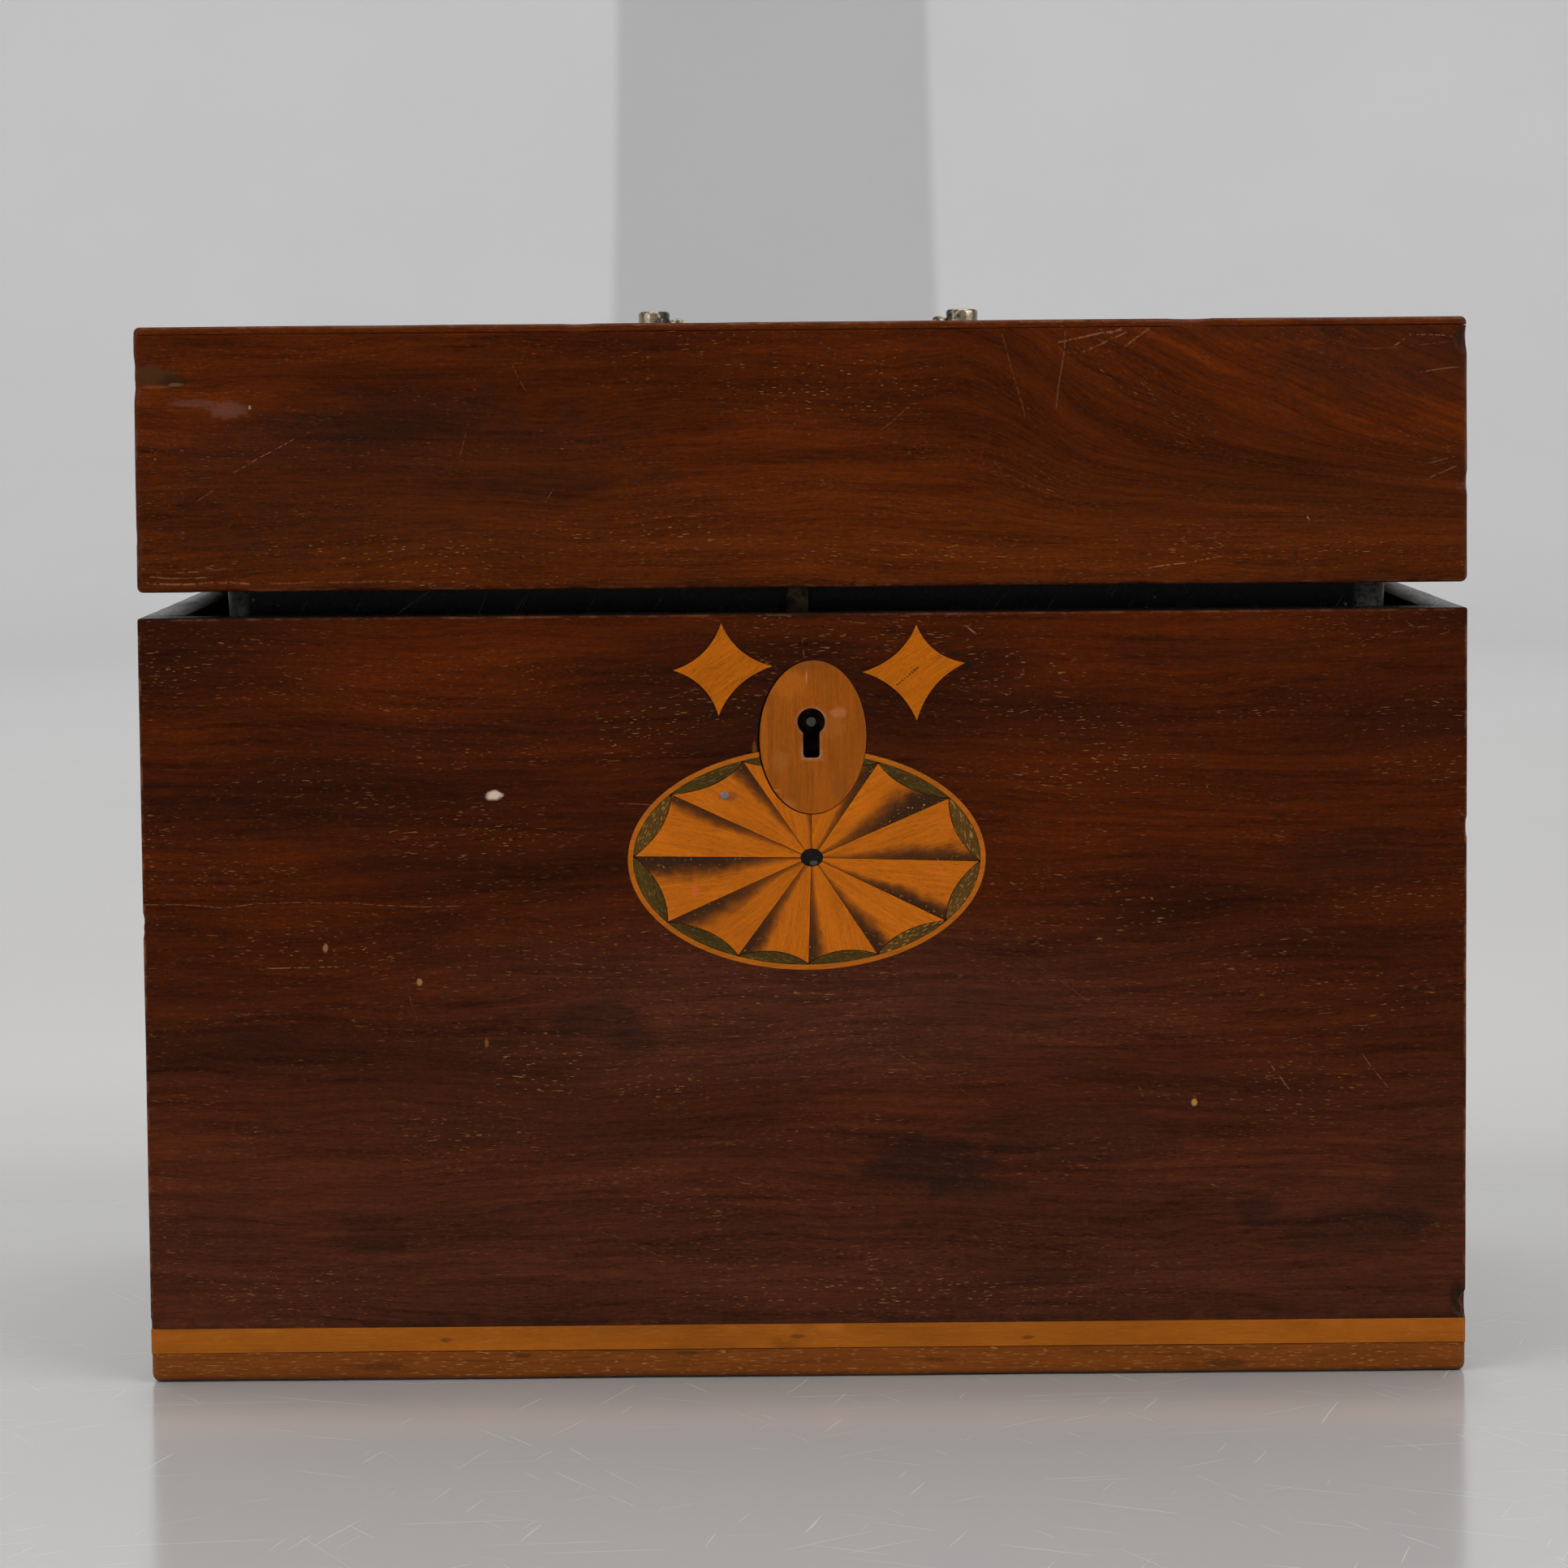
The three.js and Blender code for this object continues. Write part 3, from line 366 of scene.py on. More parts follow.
def strip_wood(name, face, paint, dark, seed, streaky, knots):
    """The plain woods of the base: a light string and a brown foot strip."""
    g = Graph(name)
    xyz = g.place()
    flat = run, rise, deep = [xyz[axis] for axis in FACES[face][:3]]
    level = rise + (g.noise(flat, (40, 9, 9), seed) - 0.5) * 3
    grain = (run, level, deep)
    cloud = g.noise(grain, (24, 5, 5), seed + 3, 2.0, 0.6)
    streak = g.noise(grain, (12, 0.5, 0.5), seed + 5, 3.0, 0.65)
    fibre = g.noise(grain, (1.8, 0.16, 0.16), seed + 9)
    colour = g.mix(g.step(streak, 0.42, 0.72) * 0.55 * streaky, paint, dark)
    colour = g.scale(colour, 1.0 + (cloud - 0.5) * 0.7 + (fibre - 0.5) * 0.35)
    speck = g.noise(grain, (1.6, 0.22, 0.3), seed + 13, 0.0)
    colour = g.mix(g.step(speck, 0.68, 0.78) * 0.4 * streaky, colour, FILLED_PORE)
    ragged = (g.noise(flat, (2.0, 0.8, 1), seed + 15, 2.0, 0.7) - 0.5) * 1.4
    for centre, radii in knots:
        colour = g.mix(blot(g, run, rise, ragged, centre, radii) * 0.5, colour, tone(48, 26, 12))
    rub = g.noise(xyz, 2.5, seed + 21, 2.0)
    edge = edge_distance(g, xyz, CASE_LO, CASE_HI)
    colour = g.mix(g.step(edge, 0.9, 0.1) * g.step(rub, 0.42, 0.7) * 0.4, colour, WORN)
    # Painted contact shadow: the lowest 0.9 mm of the strip, where it meets the floor, is darkened.
    colour = g.mix(g.step(rise, 0.9, 0.0) * 0.6, colour, GRIME_AND_SHADE)
    roughness = 0.34 + (fibre - 0.5) * 0.2
    relief = fibre * 0.005 + streak * 0.01 + cloud * 0.03
    return g.surface(colour, roughness, relief, Specular_IOR_Level=0.12)


def carcase_wood(name, axis, paint, seed):
    """Bare sawn and planed wood that the polish never reached."""
    g = Graph(name)
    xyz = g.place()
    along = xyz[axis:] + xyz[:axis]
    ring = g.noise(along, (70, 6, 6), seed, 3.0, 0.6)
    fibre = g.noise(along, (5, 0.35, 0.35), seed + 5)
    stain = g.noise(along, 30, seed + 9, 3.0, 0.65)
    colour = g.scale(paint, 0.6 + ring * 0.5 + (fibre - 0.5) * 0.5)
    colour = g.mix(g.step(stain, 0.5, 0.75) * 0.45, colour, GRIME_AND_SHADE)
    return g.surface(colour, 0.62 + (fibre - 0.5) * 0.2, ring * 0.05 + fibre * 0.02, Specular_IOR_Level=0.2)


# --- metals and japanned sheet --------------------------------------------------


def metal(name, bright, tarnish, seed, share=0.5, low=0.25, high=0.55, pitted=0.3):
    """A worn metal: bright where it is handled, tarnished in clouds, finely scratched."""
    g = Graph(name)
    place = g.place()
    cloud = g.noise(place, 5, seed, 4.0, 0.65)
    fine = g.noise(place, 0.6, seed + 3, 2.0, 0.6)
    lines = g.most(g.strokes(place, seed + 5, 30, 4, 0.12, 0.7),
                   g.strokes(place, seed + 7, 110, 3, 0.12, 0.7))
    aged = g.step(cloud + (fine - 0.5) * 0.3, 0.62 - share * 0.3, 0.82 - share * 0.3)
    colour = g.mix(aged, bright, tarnish)
    colour = g.mix(lines * 0.4, colour, bright)
    pits = g.step(fine, 0.68, 0.8) * pitted
    colour = g.scale(colour, 1.0 - pits * 0.6)
    roughness = g.step(cloud, 0.3, 0.7) * (high - low) + low + (fine - 0.5) * 0.12
    return g.surface(colour, roughness, cloud * 0.02 - pits * 0.02 - lines * 0.006, Metallic=0.95)


def japanned(name, seed, corners=()):
    """Blue-black varnished tinplate, scratched through to the grey metal, with painted highlights on the upright
    corners listed in corners.
    """
    g = Graph(name)
    place = g.place()
    cloud = g.noise(place, (22, 22, 9), seed, 3.0, 0.6)
    fine = g.noise(place, 0.9, seed + 3, 2.0)
    colour = g.mix(g.step(cloud, 0.3, 0.7), tone(2, 2, 3), tone(9, 10, 13))
    lines = 0.0
    strokes = ((12, 26, 0.22), (74, 20, 0.2), (148, 30, 0.22), (100, 8, 0.16))
    for i, (angle, length, width) in enumerate(strokes):
        lines = g.most(lines, g.strokes(place, seed + 5 + 2 * i, angle, length, width, 0.75))
    colour = g.mix(lines * 0.45, colour, tone(140, 140, 138))
    chips_and_corner_highlight = g.step(g.noise(place, (3, 3, 2.4), seed + 11, 3.0, 0.7), 0.69, 0.74)
    # Painted highlight: an upright strip at each listed corner is lightened to grey where the rounded tin corner
    # catches the light, broken up by noise like chipped varnish. The other chips are real wear.
    for corner, width, strength in corners:
        corner_highlight = g.step(abs(place[0] - corner), width, width * 0.5) * strength
        chips_and_corner_highlight = g.most(chips_and_corner_highlight, corner_highlight * g.step(fine, 0.2, 0.6))
    colour = g.mix(chips_and_corner_highlight * 0.7, colour, tone(118, 116, 112))
    roughness = 0.20 + cloud * 0.16 + chips_and_corner_highlight * 0.2 + (fine - 0.5) * 0.08
    relief = cloud * 0.12 - lines * 0.01 - chips_and_corner_highlight * 0.03
    return g.surface(colour, roughness, relief, Specular_IOR_Level=0.1)


def backdrop_material():
    """A pale satin studio table that runs into its own backdrop, with faint handling scratches and a painted
    contact shadow just in front of the box's foot.
    """
    g = Graph("studio_sweep")
    place = x, y, z = g.place()
    colour = g.mix(g.step(y, -200.0, 100.0), tone(176, 175, 174), tone(187, 186, 185))
    colour = g.mix(g.step(y, 420.0, 2080.0), colour, tone(230, 230, 230))
    colour = g.mix(g.step(z, 60.0, 420.0), colour, tone(232, 232, 232))
    # Painted contact shadow: the floor is darkened in a band just in front of the box's foot, as wide as the box.
    painted_contact_shadow = g.step(y, -112.0, -74.0) * g.step(abs(x), HALF_X + 6, HALF_X - 6)
    colour = g.scale(colour, 1.0 - painted_contact_shadow * 0.22)
    broad = g.noise(place, 160, 3.0, 2.0)
    colour = g.scale(colour, 0.97 + broad * 0.06)
    near = g.step(y, 60.0, -60.0) * g.step(y, -460.0, -300.0)
    lines = 0.0
    for i, (angle, length) in enumerate(((8, 60), (40, 44), (-28, 52), (74, 34), (-64, 40))):
        lines = g.most(lines, g.strokes(place, 5.0 + 2 * i, angle, length, 0.42, 0.76))
    lines = lines * near
    colour = g.mix(lines * 0.35, colour, tone(226, 226, 226))
    grain = g.noise(place, 1.4, 12.0, 2.0) * near
    matt = g.most(g.step(y, 80.0, 260.0), g.step(y, -240.0, -420.0))
    roughness = 0.13 + grain * 0.05 + matt * 0.85 + lines * 0.25
    return g.surface(colour, roughness, grain * 0.002 - lines * 0.004, Specular_IOR_Level=1.0)


# --- mesh making ----------------------------------------------------------------


def ripple(points, wavelength, seed, waves=7):
    """A smooth random height for each point, about -1 to 1, the same at every run."""
    rng = np.random.default_rng(seed)
    directions = rng.normal(size=(waves, 3))
    directions /= np.linalg.norm(directions, axis=1, keepdims=True)
    phases = rng.uniform(0, 2 * math.pi, waves)
    return np.sin(np.asarray(points) @ directions.T * 2 * math.pi / wavelength + phases).mean(1) * 1.7


def mesh_of(name, points, faces, sharp=32):
    """A mesh from points in mm, smooth-shaded except over edges sharper than sharp degrees."""
    mesh = bpy.data.meshes.new(name)
    corners = [tuple(int(i) for i in face) for face in faces]
    mesh.from_pydata([tuple(p) for p in np.asarray(points, float) * MM], [], corners)
    tidy(mesh, sharp)
    return mesh


def tidy(mesh, sharp=32):
    bm = bmesh.new()
    bm.from_mesh(mesh)
    bmesh.ops.remove_doubles(bm, verts=bm.verts, dist=1e-7)
    bmesh.ops.recalc_face_normals(bm, faces=bm.faces)
    bm.to_mesh(mesh)
    bm.free()
    mesh.shade_smooth()
    mesh.set_sharp_from_angle(angle=math.radians(sharp))
    mesh.update()


def loose(mesh):
    obj = bpy.data.objects.new(mesh.name, mesh)
    bpy.context.scene.collection.objects.link(obj)
    return obj


def carve(mesh, *cutters):
    """The mesh with the cutters' shapes taken out of it."""
    body = loose(mesh)
    tools = [loose(cutter) for cutter in cutters]
    for tool in tools:
        cut = body.modifiers.new("cut", "BOOLEAN")
        cut.operation, cut.solver, cut.object = "DIFFERENCE", "EXACT", tool
    bpy.context.view_layer.update()
    result = bpy.data.meshes.new_from_object(body.evaluated_get(bpy.context.evaluated_depsgraph_get()))
    result.name = mesh.name
    for obj in (body, *tools):
        bpy.data.objects.remove(obj)
    tidy(result)
    return result


def piece(name, mesh, material, body, slot, *nodes):
    """Puts a mesh in the scene as part of the caddy, standing for the CAD nodes it shows."""
    mesh.materials.clear()
    mesh.materials.append(material)
    obj = loose(mesh)
    obj.name = name
    if body in ON_LID:
        obj.matrix_world = LID_REST
    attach(obj, body)
    if nodes:
        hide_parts(*nodes)
    return obj


def stations(lo, hi, radius, step):
    """Where to cut an edge from lo to hi: close together over the rounded ends, step apart between."""
    bends = [radius * (1 - math.tan(math.radians(angle))) for angle in (45, 33, 22, 11, 0)]
    middle = np.linspace(lo + radius, hi - radius, max(2, round((hi - lo) / step) + 1))[1:-1]
    return np.array([lo + b for b in bends] + list(middle) + [hi - b for b in reversed(bends)])


def lattice_shell(cuts):
    """Points and quads of the surface of a box cut at these stations along x, y and z."""
    sizes = tuple(len(c) for c in cuts)
    quads = []
    for axis in range(3):
        u, v = (axis + 1) % 3, (axis + 2) % 3
        i, j = (grid.ravel() for grid in np.meshgrid(range(sizes[u] - 1), range(sizes[v] - 1), indexing="ij"))
        for end in (0, sizes[axis] - 1):
            corners = []
            for di, dj in ((0, 0), (1, 0), (1, 1), (0, 1)):
                index = [None] * 3
                index[axis], index[u], index[v] = np.full_like(i, end), i + di, j + dj
                corners.append(np.ravel_multi_index(index, sizes))
            quads.append(np.stack(corners[::-1] if end == 0 else corners, -1))
    used, flat = np.unique(np.concatenate(quads).ravel(), return_inverse=True)
    where = np.unravel_index(used, sizes)
    points = np.stack([cuts[k][where[k]] for k in range(3)], -1)
    return points, flat.reshape(-1, 4)


def rounded(points, lo, hi, radius):
    """Draws points outside a round-cornered box on to its surface."""
    core = np.clip(points, lo + radius, hi - radius)
    away = points - core
    reach = np.linalg.norm(away, axis=1, keepdims=True)
    return core + away * np.minimum(1, radius / np.maximum(reach, 1e-9))


def board(name, lo, hi, shell=None, corner=1.0, radius=0.22, step=3.0, warp=0.03, dents=(), seed=1):
    """A planed board: eased edges, a slight warp, bruised places, and the corners of the whole
    shell rounded off where the board reaches them. Dents are (place, size, depth)."""
    lo, hi = np.array(lo, float), np.array(hi, float)
    cuts = []
    for axis in range(3):
        ease = min(radius, (hi[axis] - lo[axis]) / 3)
        cut = stations(lo[axis], hi[axis], ease, step)
        extra = []
        if shell is not None:
            for end in (shell[0][axis], shell[1][axis]):
                extra += [math.copysign(abs(end) - corner * t, end) for t in (0.1, 0.25, 0.45, 0.7, 1.0)]
        for place, size, _ in dents:
            extra += [place[axis] + size * t for t in (-1, -0.7, -0.45, -0.2, 0, 0.2, 0.45, 0.7, 1)]
        extra = [e for e in extra if lo[axis] + radius < e < hi[axis] - radius]
        cut = np.unique(np.round(np.concatenate([cut, extra]), 4))
        cuts.append(cut[np.concatenate([[True], np.diff(cut) > 0.012])])
    points, quads = lattice_shell(cuts)
    points = rounded(points, lo, hi, radius)
    if shell is not None:
        soft = corner * (1 + 0.22 * ripple(points, 17, seed + 5))[:, None]
        points = rounded(points, shell[0], shell[1], soft)
    centre = (lo + hi) / 2
    outward = (points - centre) / np.maximum((hi - lo) / 2, 1e-6)
    outward = np.where(np.abs(outward) > 0.97, np.sign(outward), 0)
    for axis in range(3):
        bow = ripple(points, 60 + 9 * axis, seed + axis) * warp - warp
        fine = ripple(points, 7, seed + 11 + axis) * warp * 0.25
        points[:, axis] += outward[:, axis] * (bow + fine)
    for place, size, depth in dents:
        away = points - np.array(place)
        share = np.clip(1 - (np.linalg.norm(away, axis=1) / size) ** 2, 0, 1)
        jagged = 1 + 0.45 * ripple(points, size * 0.8, seed + 31)
        inward = centre - np.array(place)
        inward = np.where(np.abs(inward) > np.abs(hi - lo) / 2 * 0.9, np.sign(inward), 0)
        points += inward / max(np.linalg.norm(inward), 1e-9) * (share * depth * jagged)[:, None]
    return mesh_of(name, points, quads, sharp=50)


def block(lo, hi):
    """A plain cutter."""
    points, quads = lattice_shell([np.array([lo[i], hi[i]], float) for i in range(3)])
    return mesh_of("cutter", points, quads)


def arc(centre, radius, start, end, count):
    """Points on an arc."""
    turns = np.radians(np.linspace(start, end, count))
    return np.stack([centre[0] + radius * np.cos(turns), centre[1] + radius * np.sin(turns)], -1)


def oval(shape, wider=0.0, taller=0.0, count=96, shift=0.0):
    """Points round an oval of the front face, anticlockwise, or round one of a slightly other size."""
    angles = np.arange(count) * 2 * math.pi / count
    turn = math.radians(shape.get("turn", 0.0))
    cos, sin = math.cos(turn), math.sin(turn)
    u, v = (shape["a"] + wider) * np.cos(angles), (shape["b"] + taller) * np.sin(angles)
    return np.stack([shape["x"] + shift + u * cos - v * sin, shape["z"] + u * sin + v * cos], -1)


def inset(outline, amount):
    """An outline moved inwards, with sharp points kept from running away."""
    before, after = np.roll(outline, 1, 0), np.roll(outline, -1, 0)
    a = outline - before
    b = after - outline
    a /= np.maximum(np.linalg.norm(a, axis=1, keepdims=True), 1e-9)
    b /= np.maximum(np.linalg.norm(b, axis=1, keepdims=True), 1e-9)
    normal = np.stack([-(a + b)[:, 1], (a + b)[:, 0]], -1)
    normal /= np.maximum(np.linalg.norm(normal, axis=1, keepdims=True), 1e-9)
    half = np.sqrt(np.clip((1 + (a * b).sum(1)) / 2, 0.09, 1))
    return outline + normal * (amount / half)[:, None]


def sheet_cut(name, loops, front, back, bevel=0.0):
    """A flat piece cut from sheet, standing upright with its face at y = front. The first loop is
    its outline, anticlockwise, and the others are holes, clockwise."""
    bm = bmesh.new()
    faces = []
    for loop in loops:
        rows = [(loop, back), (loop, front)]
        if bevel:
            rows = [(loop, back), (loop, front + bevel), (inset(loop, bevel), front)]
        rings = [[bm.verts.new((p[0] * MM, y * MM, p[1] * MM)) for p in outline] for outline, y in rows]
        count = len(loop)
        for lower, upper in zip(rings, rings[1:]):
            for i in range(count):
                j = (i + 1) % count
                bm.faces.new((lower[i], lower[j], upper[j], upper[i]))
        faces.append((rings[0], rings[-1]))
    for end in (0, 1):
        edges = []
        for rings in faces:
            ring = rings[end]
            edges += [bm.edges.get((ring[i], ring[(i + 1) % len(ring)])) for i in range(len(ring))]
        bmesh.ops.triangle_fill(bm, edges=edges, use_beauty=True)
    mesh = bpy.data.meshes.new(name)
    bm.to_mesh(mesh)
    bm.free()
    tidy(mesh, 25)
    return mesh


def loft(name, rings, sharp=32):
    """A closed skin over rings of points, capped at both ends."""
    rings = np.asarray(rings, float)
    rows, count, _ = rings.shape
    i, j = np.meshgrid(range(rows - 1), range(count), indexing="ij")
    k = (j + 1) % count
    quads = np.stack([i * count + j, i * count + k, (i + 1) * count + k, (i + 1) * count + j], -1)
    caps = [list(range(count)), [(rows - 1) * count + n for n in range(count)]]
    return mesh_of(name, rings.reshape(-1, 3), quads.reshape(-1, 4).tolist() + caps, sharp)


def turned(name, profile, centre, axis="z", count=48, sharp=32):
    """A turned piece. Profile is radius and distance along the axis."""
    angles = np.arange(count) * 2 * math.pi / count
    rings = []
    for radius, along in profile:
        u, v = max(radius, 0.005) * np.cos(angles), max(radius, 0.005) * np.sin(angles)
        flat = np.full(count, along)
        rings.append(np.stack((u, v, flat) if axis == "z" else (flat, u, v), -1) + np.array(centre))
    return loft(name, rings, sharp)


def eased(points, count=6):
    """A profile with its corners between points rounded by a smooth curve through them."""
    points = np.asarray(points, float)
    padded = np.concatenate([[2 * points[0] - points[1]], points, [2 * points[-1] - points[-2]]])
    made = []
    for i in range(1, len(padded) - 2):
        p0, p1, p2, p3 = padded[i - 1:i + 3]
        for t in np.linspace(0, 1, count, endpoint=False):
            made.append(0.5 * (2 * p1 + (p2 - p0) * t + (2 * p0 - 5 * p1 + 4 * p2 - p3) * t ** 2
                               + (3 * p1 - p0 - 3 * p2 + p3) * t ** 3))
    return np.array(made + [points[-1]])


def merged(name, *meshes):
    """Several meshes as one."""
    bm = bmesh.new()
    for mesh in meshes:
        bm.from_mesh(mesh)
    mesh = bpy.data.meshes.new(name)
    bm.to_mesh(mesh)
    bm.free()
    tidy(mesh)
    return mesh


def eased_copy(node, width):
    """A CAD node's shape with its edges eased by a small bevel."""
    mesh = bpy.data.meshes.new(node + "_eased")
    bm = bmesh.new()
    bm.from_mesh(frame["nodes"][node].data)
    bmesh.ops.remove_doubles(bm, verts=bm.verts, dist=1e-6)
    bmesh.ops.dissolve_limit(bm, angle_limit=math.radians(1), verts=bm.verts, edges=bm.edges)
    sharp = [e for e in bm.edges if e.is_manifold and e.calc_face_angle() > math.radians(40)]
    bmesh.ops.bevel(bm, geom=sharp, offset=width * MM, segments=2, profile=0.5, affect="EDGES",
                    clamp_overlap=True)
    if any(node in BODIES[body] for body in ON_LID):
        bm.transform(LID_REST.inverted())
    bm.to_mesh(mesh)
    bm.free()
    tidy(mesh, 30)
    return mesh


# --- stage ----------------------------------------------------------------------

CAMERA_PLACE = (-5.88, -978.3, 186.9)
CAMERA_YAW, CAMERA_PITCH, CAMERA_ROLL = -0.0025, 0.0859, -0.0086
LENS = 115.64


def camera():
    data = bpy.data.cameras.new("camera")
    data.lens, data.sensor_width = LENS, 36.0
    data.clip_start, data.clip_end = 0.01, 50
    obj = bpy.data.objects.new("camera", data)
    bpy.context.scene.collection.objects.link(obj)
    turn = (Matrix.Rotation(CAMERA_YAW, 4, "Z") @ Matrix.Rotation(math.pi / 2 - CAMERA_PITCH, 4, "X")
            @ Matrix.Rotation(CAMERA_ROLL, 4, "Z"))
    obj.matrix_world = Matrix.Translation(Vector(CAMERA_PLACE) * MM) @ turn
    bpy.context.scene.camera = obj


def softbox(name, place, size, power, aim=(0, 0, 0.09)):
    data = bpy.data.lights.new(name, "AREA")
    data.shape, data.size, data.size_y, data.energy = "RECTANGLE", size[0], size[1], power
    obj = bpy.data.objects.new(name, data)
    bpy.context.scene.collection.objects.link(obj)
    obj.location = place
    obj.rotation_euler = (Vector(place) - Vector(aim)).to_track_quat("Z", "Y").to_euler()
    obj.visible_camera = False


def studio():
    scene = bpy.context.scene
    scene.view_settings.view_transform = "Standard"
    scene.world = bpy.data.worlds.new("studio")
    scene.world.use_nodes = True
    sky = scene.world.node_tree.nodes["Background"]
    sky.inputs["Color"].default_value = (1, 1, 1, 1)
    sky.inputs["Strength"].default_value = 0.48
    softbox("key_left", (-1.35, -0.95, 1.05), (1.6, 1.6), 23.2)
    softbox("key_right", (1.35, -0.95, 1.05), (1.6, 1.6), 21.2)
    softbox("top", (0.0, 0.35, 1.7), (1.4, 1.0), 10)

    flat, bend, wall = 2200.0, 900.0, 3200.0
    profile = [(r, 0.0) for r in (0.0, 200.0, 700.0, 1500.0)]
    profile += [*arc((flat, bend), bend, -90, 0, 16), (flat + bend, wall)]
    angles = np.arange(96) * 2 * math.pi / 96
    rings = [np.stack([max(r, 1) * np.cos(angles), max(r, 1) * np.sin(angles), np.full(96, z)], -1)
             for r, z in profile]
    quads = [tuple(range(96))]
    for i in range(len(profile) - 1):
        for j in range(96):
            k = (j + 1) % 96
            quads.append((i * 96 + j, i * 96 + k, (i + 1) * 96 + k, (i + 1) * 96 + j))
    mesh = mesh_of("studio_sweep", np.concatenate(rings), quads)
    mesh.materials.append(backdrop_material())
    loose(mesh)


# --- inlay outlines ---------------------------------------------------------------

KEYHOLE = {"x": 1.4, "z": 119.95, "r": 2.5, "slot": 3.0, "drop": 6.5, "corner": 0.7}
ESCUTCHEON = {"x": 1.7, "z": 117.2, "a": 9.65, "b": 13.9, "turn": -1.3}
PATERA = {"x": 0.4, "z": 95.1, "a": 32.4, "b": 20.2}
DOT = {"x": 1.3, "z": 95.35, "a": 2.1, "b": 1.7}
HEART = (DOT["x"], DOT["z"])
REPAIR = {"x": -14.4, "z": 106.8, "a": 0.75, "b": 0.62}
RING_WIDTH = 0.95
PETAL_SINK = 1.65
RAYS = (-1.7, 23.0, 54.6, 90.0, 125.1, 155.3, 179.2, 203.7, 232.8, 267.9, 303.8, 334.2)
LOZENGES = {
    "left": ((-5.5, 130.1), (-14.7, 138.0), (-23.5, 129.5), (-15.3, 121.2)),
    "right": ((29.3, 130.4), (20.5, 137.4), (10.7, 128.9), (20.5, 120.0)),
}
INLAY_THICK = 0.9
POCKET = 1.2
LET_IN = 1.04


def keyhole(grow=0.0):
    """The keyhole's outline, clockwise as a hole is."""
    x, z, corner = KEYHOLE["x"], KEYHOLE["z"], KEYHOLE["corner"]
    radius, half = KEYHOLE["r"] + grow, KEYHOLE["slot"] / 2 + grow
    foot = z - KEYHOLE["drop"] - grow
    meet = math.degrees(math.asin(half / radius))
    left = arc((x - half + corner, foot + corner), corner, 180, 270, 6)
    right = arc((x + half - corner, foot + corner), corner, 270, 360, 6)
    return np.concatenate([arc((x, z), radius, meet - 90, 270 - meet, 40), left, right])[::-1]


def hollow_side(start, end, centre, depth, count=14):
    """An arc from start up to but not including end, pulled towards centre by depth."""
    start, end, centre = (np.array(p, float) for p in (start, end, centre))
    pull = centre - (start + end) / 2
    pull /= np.linalg.norm(pull)
    share = np.linspace(0, 1, count, endpoint=False)[:, None]
    return start + (end - start) * share + pull * 4 * depth * share * (1 - share)


def lozenge(side, grow=0.0):
    tips = np.array(LOZENGES[side])
    centre = tips.mean(0)
    tips = centre + (tips - centre) * (1 + grow / 8)
    hollow = 1.55 - grow * 0.4
    return np.concatenate([hollow_side(a, b, centre, hollow) for a, b in zip(tips, np.roll(tips, -1, 0))])


def cusp(angle, inset_by):
    """Where a ray from the fan's centre meets the oval inside the ring."""
    a, b = PATERA["a"] - inset_by, PATERA["b"] - inset_by
    ux, uz = math.cos(math.radians(angle)), math.sin(math.radians(angle))
    px, pz = DOT["x"] - PATERA["x"], DOT["z"] - PATERA["z"]
    qa = (ux / a) ** 2 + (uz / b) ** 2
    qb = 2 * (px * ux / a ** 2 + pz * uz / b ** 2)
    qc = (px / a) ** 2 + (pz / b) ** 2 - 1
    reach = (-qb + math.sqrt(qb ** 2 - 4 * qa * qc)) / (2 * qa)
    return np.array([DOT["x"] + reach * ux, DOT["z"] + reach * uz])


# --- the case and the lid's walls -------------------------------------------------

